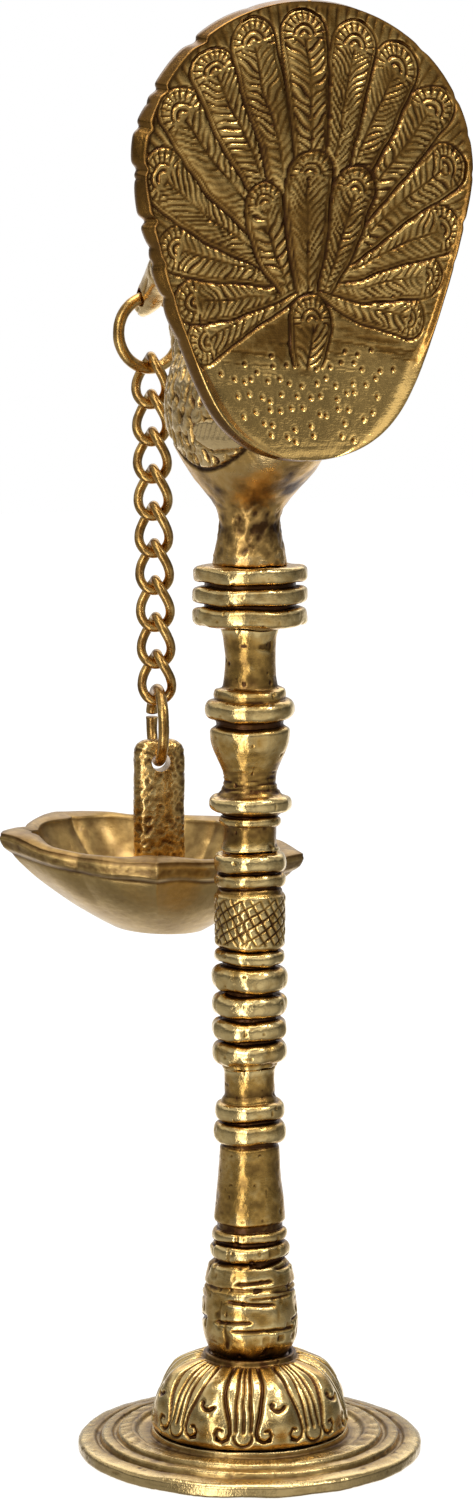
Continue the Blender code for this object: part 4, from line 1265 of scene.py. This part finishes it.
class NodeTree:
    """Short ways to add shader nodes and link them."""

    def __init__(self, owner):
        owner.use_nodes = True
        self.nodes, self.links = owner.node_tree.nodes, owner.node_tree.links

    def place(self, space):
        """The shaded point, in the Object or Generated space."""
        return self.nodes.new("ShaderNodeTexCoord").outputs[space]

    def maths(self, kind, *values):
        """A number from numbers and outputs."""
        node = self.nodes.new("ShaderNodeMath")
        node.operation = kind
        for socket, value in zip(node.inputs, values):
            if isinstance(value, (int, float)):
                socket.default_value = value
            else:
                self.links.new(value, socket)
        return node.outputs[0]

    def noise(self, scale, detail, stretch=(1, 1, 1)):
        """Noise fixed to the object."""
        mapping = self.nodes.new("ShaderNodeMapping")
        mapping.inputs["Scale"].default_value = stretch
        self.links.new(self.place("Object"), mapping.inputs["Vector"])
        texture = self.nodes.new("ShaderNodeTexNoise")
        texture.inputs["Scale"].default_value = scale
        texture.inputs["Detail"].default_value = detail
        self.links.new(mapping.outputs["Vector"], texture.inputs["Vector"])
        return texture.outputs["Fac"]

    def ramp(self, source, stops):
        """A colour from a number, through stops of (position, grey level or colour)."""
        node = self.nodes.new("ShaderNodeValToRGB")
        elements = node.color_ramp.elements
        colors = [(*np.broadcast_to(color, 3).tolist(), 1) for _, color in stops]
        elements[0].position, elements[0].color = stops[0][0], colors[0]
        elements[1].position, elements[1].color = stops[-1][0], colors[-1]
        for (position, _), color in zip(stops[1:-1], colors[1:-1]):
            elements.new(position).color = color
        self.links.new(source, node.inputs["Fac"])
        return node.outputs["Color"]

    def mixed(self, kind, factor, first, second):
        """A colour mixed from two others. factor is a number or an output."""
        node = self.nodes.new("ShaderNodeMix")
        node.data_type = "RGBA"
        node.blend_type = kind
        if isinstance(factor, float):
            node.inputs["Factor"].default_value = factor
        else:
            self.links.new(factor, node.inputs["Factor"])
        self.links.new(first, node.inputs["A"])
        self.links.new(second, node.inputs["B"])
        return node.outputs["Result"]

    def mixed_shader(self, factor, first, second):
        """A shader mixed from two others. factor is a number or an output."""
        node = self.nodes.new("ShaderNodeMixShader")
        if isinstance(factor, float):
            node.inputs["Fac"].default_value = factor
        else:
            self.links.new(factor, node.inputs["Fac"])
        self.links.new(first, node.inputs[1])
        self.links.new(second, node.inputs[2])
        return node.outputs[0]


def brass(name, bright, body, dark, polish, grain, patina):
    """Aged brass. bright is worn metal, body the usual tone and dark the patina in the hollows; relief also
    brings painted light and painted shade onto them. polish is the roughness, grain the depth of the fine
    bumps, and patina how patchy the tone is."""
    material = bpy.data.materials.new(name)
    tree = NodeTree(material)
    shader = tree.nodes["Principled BSDF"]
    shader.inputs["Metallic"].default_value = 1.0
    shader.inputs["Coat Weight"].default_value = 0.16
    shader.inputs["Coat Roughness"].default_value = 0.2
    relief = tree.nodes.new("ShaderNodeAttribute")
    relief.attribute_name = "relief"
    stain, speck = tree.noise(160, 4), tree.noise(900, 5)
    level = tree.maths("MULTIPLY_ADD", relief.outputs["Fac"], 0.42, 0.5)
    level = tree.maths("ADD", level, tree.maths("MULTIPLY_ADD", stain, 0.7 * patina, -0.35 * patina))
    level = tree.maths("ADD", level, tree.maths("MULTIPLY_ADD", speck, 0.5 * patina, -0.25 * patina))
    between = [0.5 * (a + b) for a, b in zip(dark, body)]
    color = tree.ramp(level, [(0.12, dark), (0.36, between), (0.52, body), (0.85, bright)])
    tree.links.new(color, shader.inputs["Base Color"])
    roughness = tree.maths("MULTIPLY_ADD", level, -0.32, polish + 0.22)
    roughness = tree.maths("ADD", roughness, tree.maths("MULTIPLY_ADD", speck, 0.22, -0.1))
    roughness = tree.maths("MAXIMUM", roughness, 0.12)
    tree.links.new(roughness, shader.inputs["Roughness"])
    height = tree.maths("ADD", tree.noise(2600, 3), tree.maths("MULTIPLY", tree.noise(700, 2), 1.4))
    drawn = tree.noise(420, 2, (1, 1, 9))
    height = tree.maths("ADD", height, tree.maths("MULTIPLY", drawn, 0.5))
    bump = tree.nodes.new("ShaderNodeBump")
    bump.inputs["Strength"].default_value = grain
    bump.inputs["Distance"].default_value = 0.12 * MM
    tree.links.new(height, bump.inputs["Height"])
    tree.links.new(bump.outputs["Normal"], shader.inputs["Normal"])
    return material


# Each brass: its worn, usual and patina tones, then its polish, grain and patina.
BRASSES = {
    "stem_brass": ((0.88, 0.65, 0.28), (0.57, 0.335, 0.082), (0.085, 0.032, 0.007), 0.2, 0.35, 0.5),
    "foot_brass": ((0.66, 0.475, 0.205), (0.385, 0.246, 0.08), (0.09, 0.04, 0.011), 0.25, 0.45, 0.5),
    "fan_brass": ((0.82, 0.53, 0.17), (0.31, 0.156, 0.03), (0.08, 0.03, 0.006), 0.18, 0.35, 0.5),
    "bird_brass": ((0.97, 0.70, 0.33), (0.74, 0.45, 0.135), (0.08, 0.035, 0.009), 0.25, 0.45, 0.5),
    "wire_brass": ((0.82, 0.57, 0.22), (0.54, 0.32, 0.09), (0.12, 0.05, 0.012), 0.2, 0.35, 0.7),
    "post_brass": ((0.90, 0.65, 0.28), (0.52, 0.31, 0.09), (0.12, 0.05, 0.013), 0.16, 0.45, 0.6),
    "bowl_brass": ((0.76, 0.53, 0.20), (0.50, 0.32, 0.108), (0.16, 0.08, 0.023), 0.32, 0.35, 0.5),
}

# ---------------------------------------------------------------- studio

VIEW_AZIMUTH = math.radians(149)
TOWARDS_CAMERA = Vector((math.sin(VIEW_AZIMUTH), -math.cos(VIEW_AZIMUTH), 0))
CAMERA_RIGHT = Vector((math.cos(VIEW_AZIMUTH), math.sin(VIEW_AZIMUTH), 0))


def add_camera():
    """The photo's camera, a little above the lamp and tipped down at it."""
    distance, height = 0.880, 0.263
    pitch, yaw = math.radians(6.88), math.radians(0.19)
    data = bpy.data.cameras.new("photo_camera")
    data.lens, data.sensor_width = 97.35, 36
    camera = add_object("photo_camera", data)
    camera.location = TOWARDS_CAMERA * distance + Vector((0, 0, height))
    forward = -TOWARDS_CAMERA * math.cos(pitch) + Vector((0, 0, -math.sin(pitch)))
    forward = Matrix.Rotation(yaw, 3, "Z") @ forward
    camera.rotation_mode = "QUATERNION"
    camera.rotation_quaternion = forward.to_track_quat("-Z", "Y")
    bpy.context.scene.camera = camera


# What polished metal reflects at each bearing, in degrees to the right of the camera as the lamp sees it:
# a narrow bright strip, a wide dim panel, the white backdrop behind, and dark between them.
STUDIO_BRIGHTNESS = 5.8
STUDIO_BEARINGS = (
    (-180, 0.36), (-156, 0.34), (-138, 0.11), (-100, 0.12), (-62, 0.10), (-37, 0.09),
    (-31, 1.2), (-21, 1.2), (-13, 0.15), (2, 0.11), (14, 0.19), (48, 0.18),
    (64, 0.13), (84, 0.10), (104, 0.06), (132, 0.07), (152, 0.34), (180, 0.36),
)

# How bright those panels are by height, from straight down, -1, over the horizon, 0, to straight up, 1.
STUDIO_LEVELS = (
    (-1.0, 0.25), (-0.75, 0.55), (-0.35, 0.62), (-0.08, 0.45), (0.04, 0.32), (0.16, 0.2),
    (0.28, 0.24), (0.44, 0.9), (0.62, 0.95), (0.82, 0.35), (1.0, 0.3),
)
# Straight up and down, where bearings mean nothing, a plain light takes over from the panels: its share,
# and its brightness, at heights from 0, straight down, to 1, straight up.
POLE_SHARE = ((0.0, 1.0), (0.04, 0.9), (0.14, 0.0), (0.86, 0.0), (0.96, 0.9), (1.0, 1.0))
POLE_LIGHT = ((0.0, 0.04), (0.4, 0.06), (0.6, 0.08), (1.0, 0.1))


def add_floor():
    """White paper just under the foot, which metal doesn't reflect."""
    size = 3.0
    mesh = bpy.data.meshes.new("studio_floor")
    corners = [(-size, -size, 0), (size, -size, 0), (size, size, 0), (-size, size, 0)]
    mesh.from_pydata(corners, [], [(0, 1, 2, 3)])
    floor = add_object("studio_floor", mesh)
    floor.location.z = -0.2 * MM
    floor.visible_glossy = False
    paper = bpy.data.materials.new("studio_paper")
    tree = NodeTree(paper)
    tree.nodes.remove(tree.nodes["Principled BSDF"])
    diffuse = tree.nodes.new("ShaderNodeBsdfDiffuse")
    diffuse.inputs["Color"].default_value = (0.9, 0.9, 0.9, 1)
    glow = tree.nodes.new("ShaderNodeEmission")
    glow.inputs["Strength"].default_value = 1.2
    shader = tree.mixed_shader(0.8, diffuse.outputs[0], glow.outputs[0])
    tree.links.new(shader, tree.nodes["Material Output"].inputs["Surface"])
    mesh.materials.append(paper)


def add_surroundings():
    """White for the camera; for metal, panels of light at set bearings round the lamp."""
    world = bpy.data.worlds.new("studio")
    bpy.context.scene.world = world
    tree = NodeTree(world)

    def along(direction):
        """How far towards a direction the ray points, from -1 to 1."""
        dot = tree.nodes.new("ShaderNodeVectorMath")
        dot.operation = "DOT_PRODUCT"
        dot.inputs[1].default_value = direction
        tree.links.new(tree.place("Generated"), dot.inputs[0])
        return dot.outputs["Value"]

    bearing = tree.maths("ARCTAN2", along(CAMERA_RIGHT), along(TOWARDS_CAMERA))
    round_share = tree.maths("MULTIPLY_ADD", bearing, 0.5 / math.pi, 0.5)
    panels = tree.ramp(round_share, [(degrees / 360 + 0.5, value) for degrees, value in STUDIO_BEARINGS])
    up_share = tree.maths("MULTIPLY_ADD", along(Vector((0, 0, 1))), 0.5, 0.5)
    levels = tree.ramp(up_share, [(height / 2 + 0.5, value) for height, value in STUDIO_LEVELS])
    panel_light = tree.mixed("MULTIPLY", 1.0, panels, levels)
    pole_light = tree.ramp(up_share, POLE_LIGHT)
    blend = tree.mixed("MIX", tree.ramp(up_share, POLE_SHARE), panel_light, pole_light)
    lit = tree.nodes.new("ShaderNodeBackground")
    tree.links.new(blend, lit.inputs["Color"])
    lit.inputs["Strength"].default_value = STUDIO_BRIGHTNESS
    seen = tree.nodes["Background"]
    seen.inputs["Color"].default_value = (1, 1, 1, 1)
    by_camera = tree.nodes.new("ShaderNodeLightPath").outputs["Is Camera Ray"]
    shader = tree.mixed_shader(by_camera, lit.outputs[0], seen.outputs[0])
    tree.links.new(shader, tree.nodes["World Output"].inputs["Surface"])


def add_top_light():
    """A large softbox overhead."""
    data = bpy.data.lights.new("top_softbox", "AREA")
    data.shape = "RECTANGLE"
    data.size = data.size_y = 0.8
    data.energy = 9
    light = add_object("top_softbox", data)
    light.location = (0, 0, 1.4)


def add_side_light():
    """A small softbox high on the right, which picks out the edges of the chasing."""
    bearing, rise, distance = math.radians(62), math.radians(46), 1.3
    direction = (TOWARDS_CAMERA * math.cos(bearing) + CAMERA_RIGHT * math.sin(bearing)) * math.cos(rise)
    direction = direction + Vector((0, 0, math.sin(rise)))
    data = bpy.data.lights.new("side_softbox", "AREA")
    data.size = 0.3
    data.energy = 3.5
    light = add_object("side_softbox", data)
    light.location = direction * distance + Vector((0, 0, 0.25))
    light.rotation_mode = "QUATERNION"
    light.rotation_quaternion = direction.to_track_quat("Z", "Y")


def add_studio():
    """Floor, surroundings and lights."""
    add_floor()
    add_surroundings()
    add_top_light()
    add_side_light()
    bpy.context.scene.view_settings.view_transform = "Standard"


# Each builder, the name of a slot, and its brass.
PARTS = (
    (build_foot, "foot_brass", "foot_brass"),
    (build_dome, "stem_brass", "stem_brass"),
    (build_lower_stem, "stem_brass", "stem_brass"),
    (build_middle_stem, "stem_brass", "stem_brass"),
    (build_upper_stem, "stem_brass", "stem_brass"),
    (build_collar, "stem_brass", "stem_brass"),
    (build_peacock, "peacock_brass", "bird_brass"),
    (build_fan, "fan_brass", "fan_brass"),
    (build_rings, "chain_brass", "wire_brass"),
    (build_chain, "chain_brass", "wire_brass"),
    (build_bowl, "bowl_brass", "bowl_brass"),
    (build_post, "post_brass", "post_brass"),
)
materials = {name: brass(name, *look) for name, look in BRASSES.items()}
for build, slot, name in PARTS:
    build(slot, materials[name])
add_camera()
add_studio()
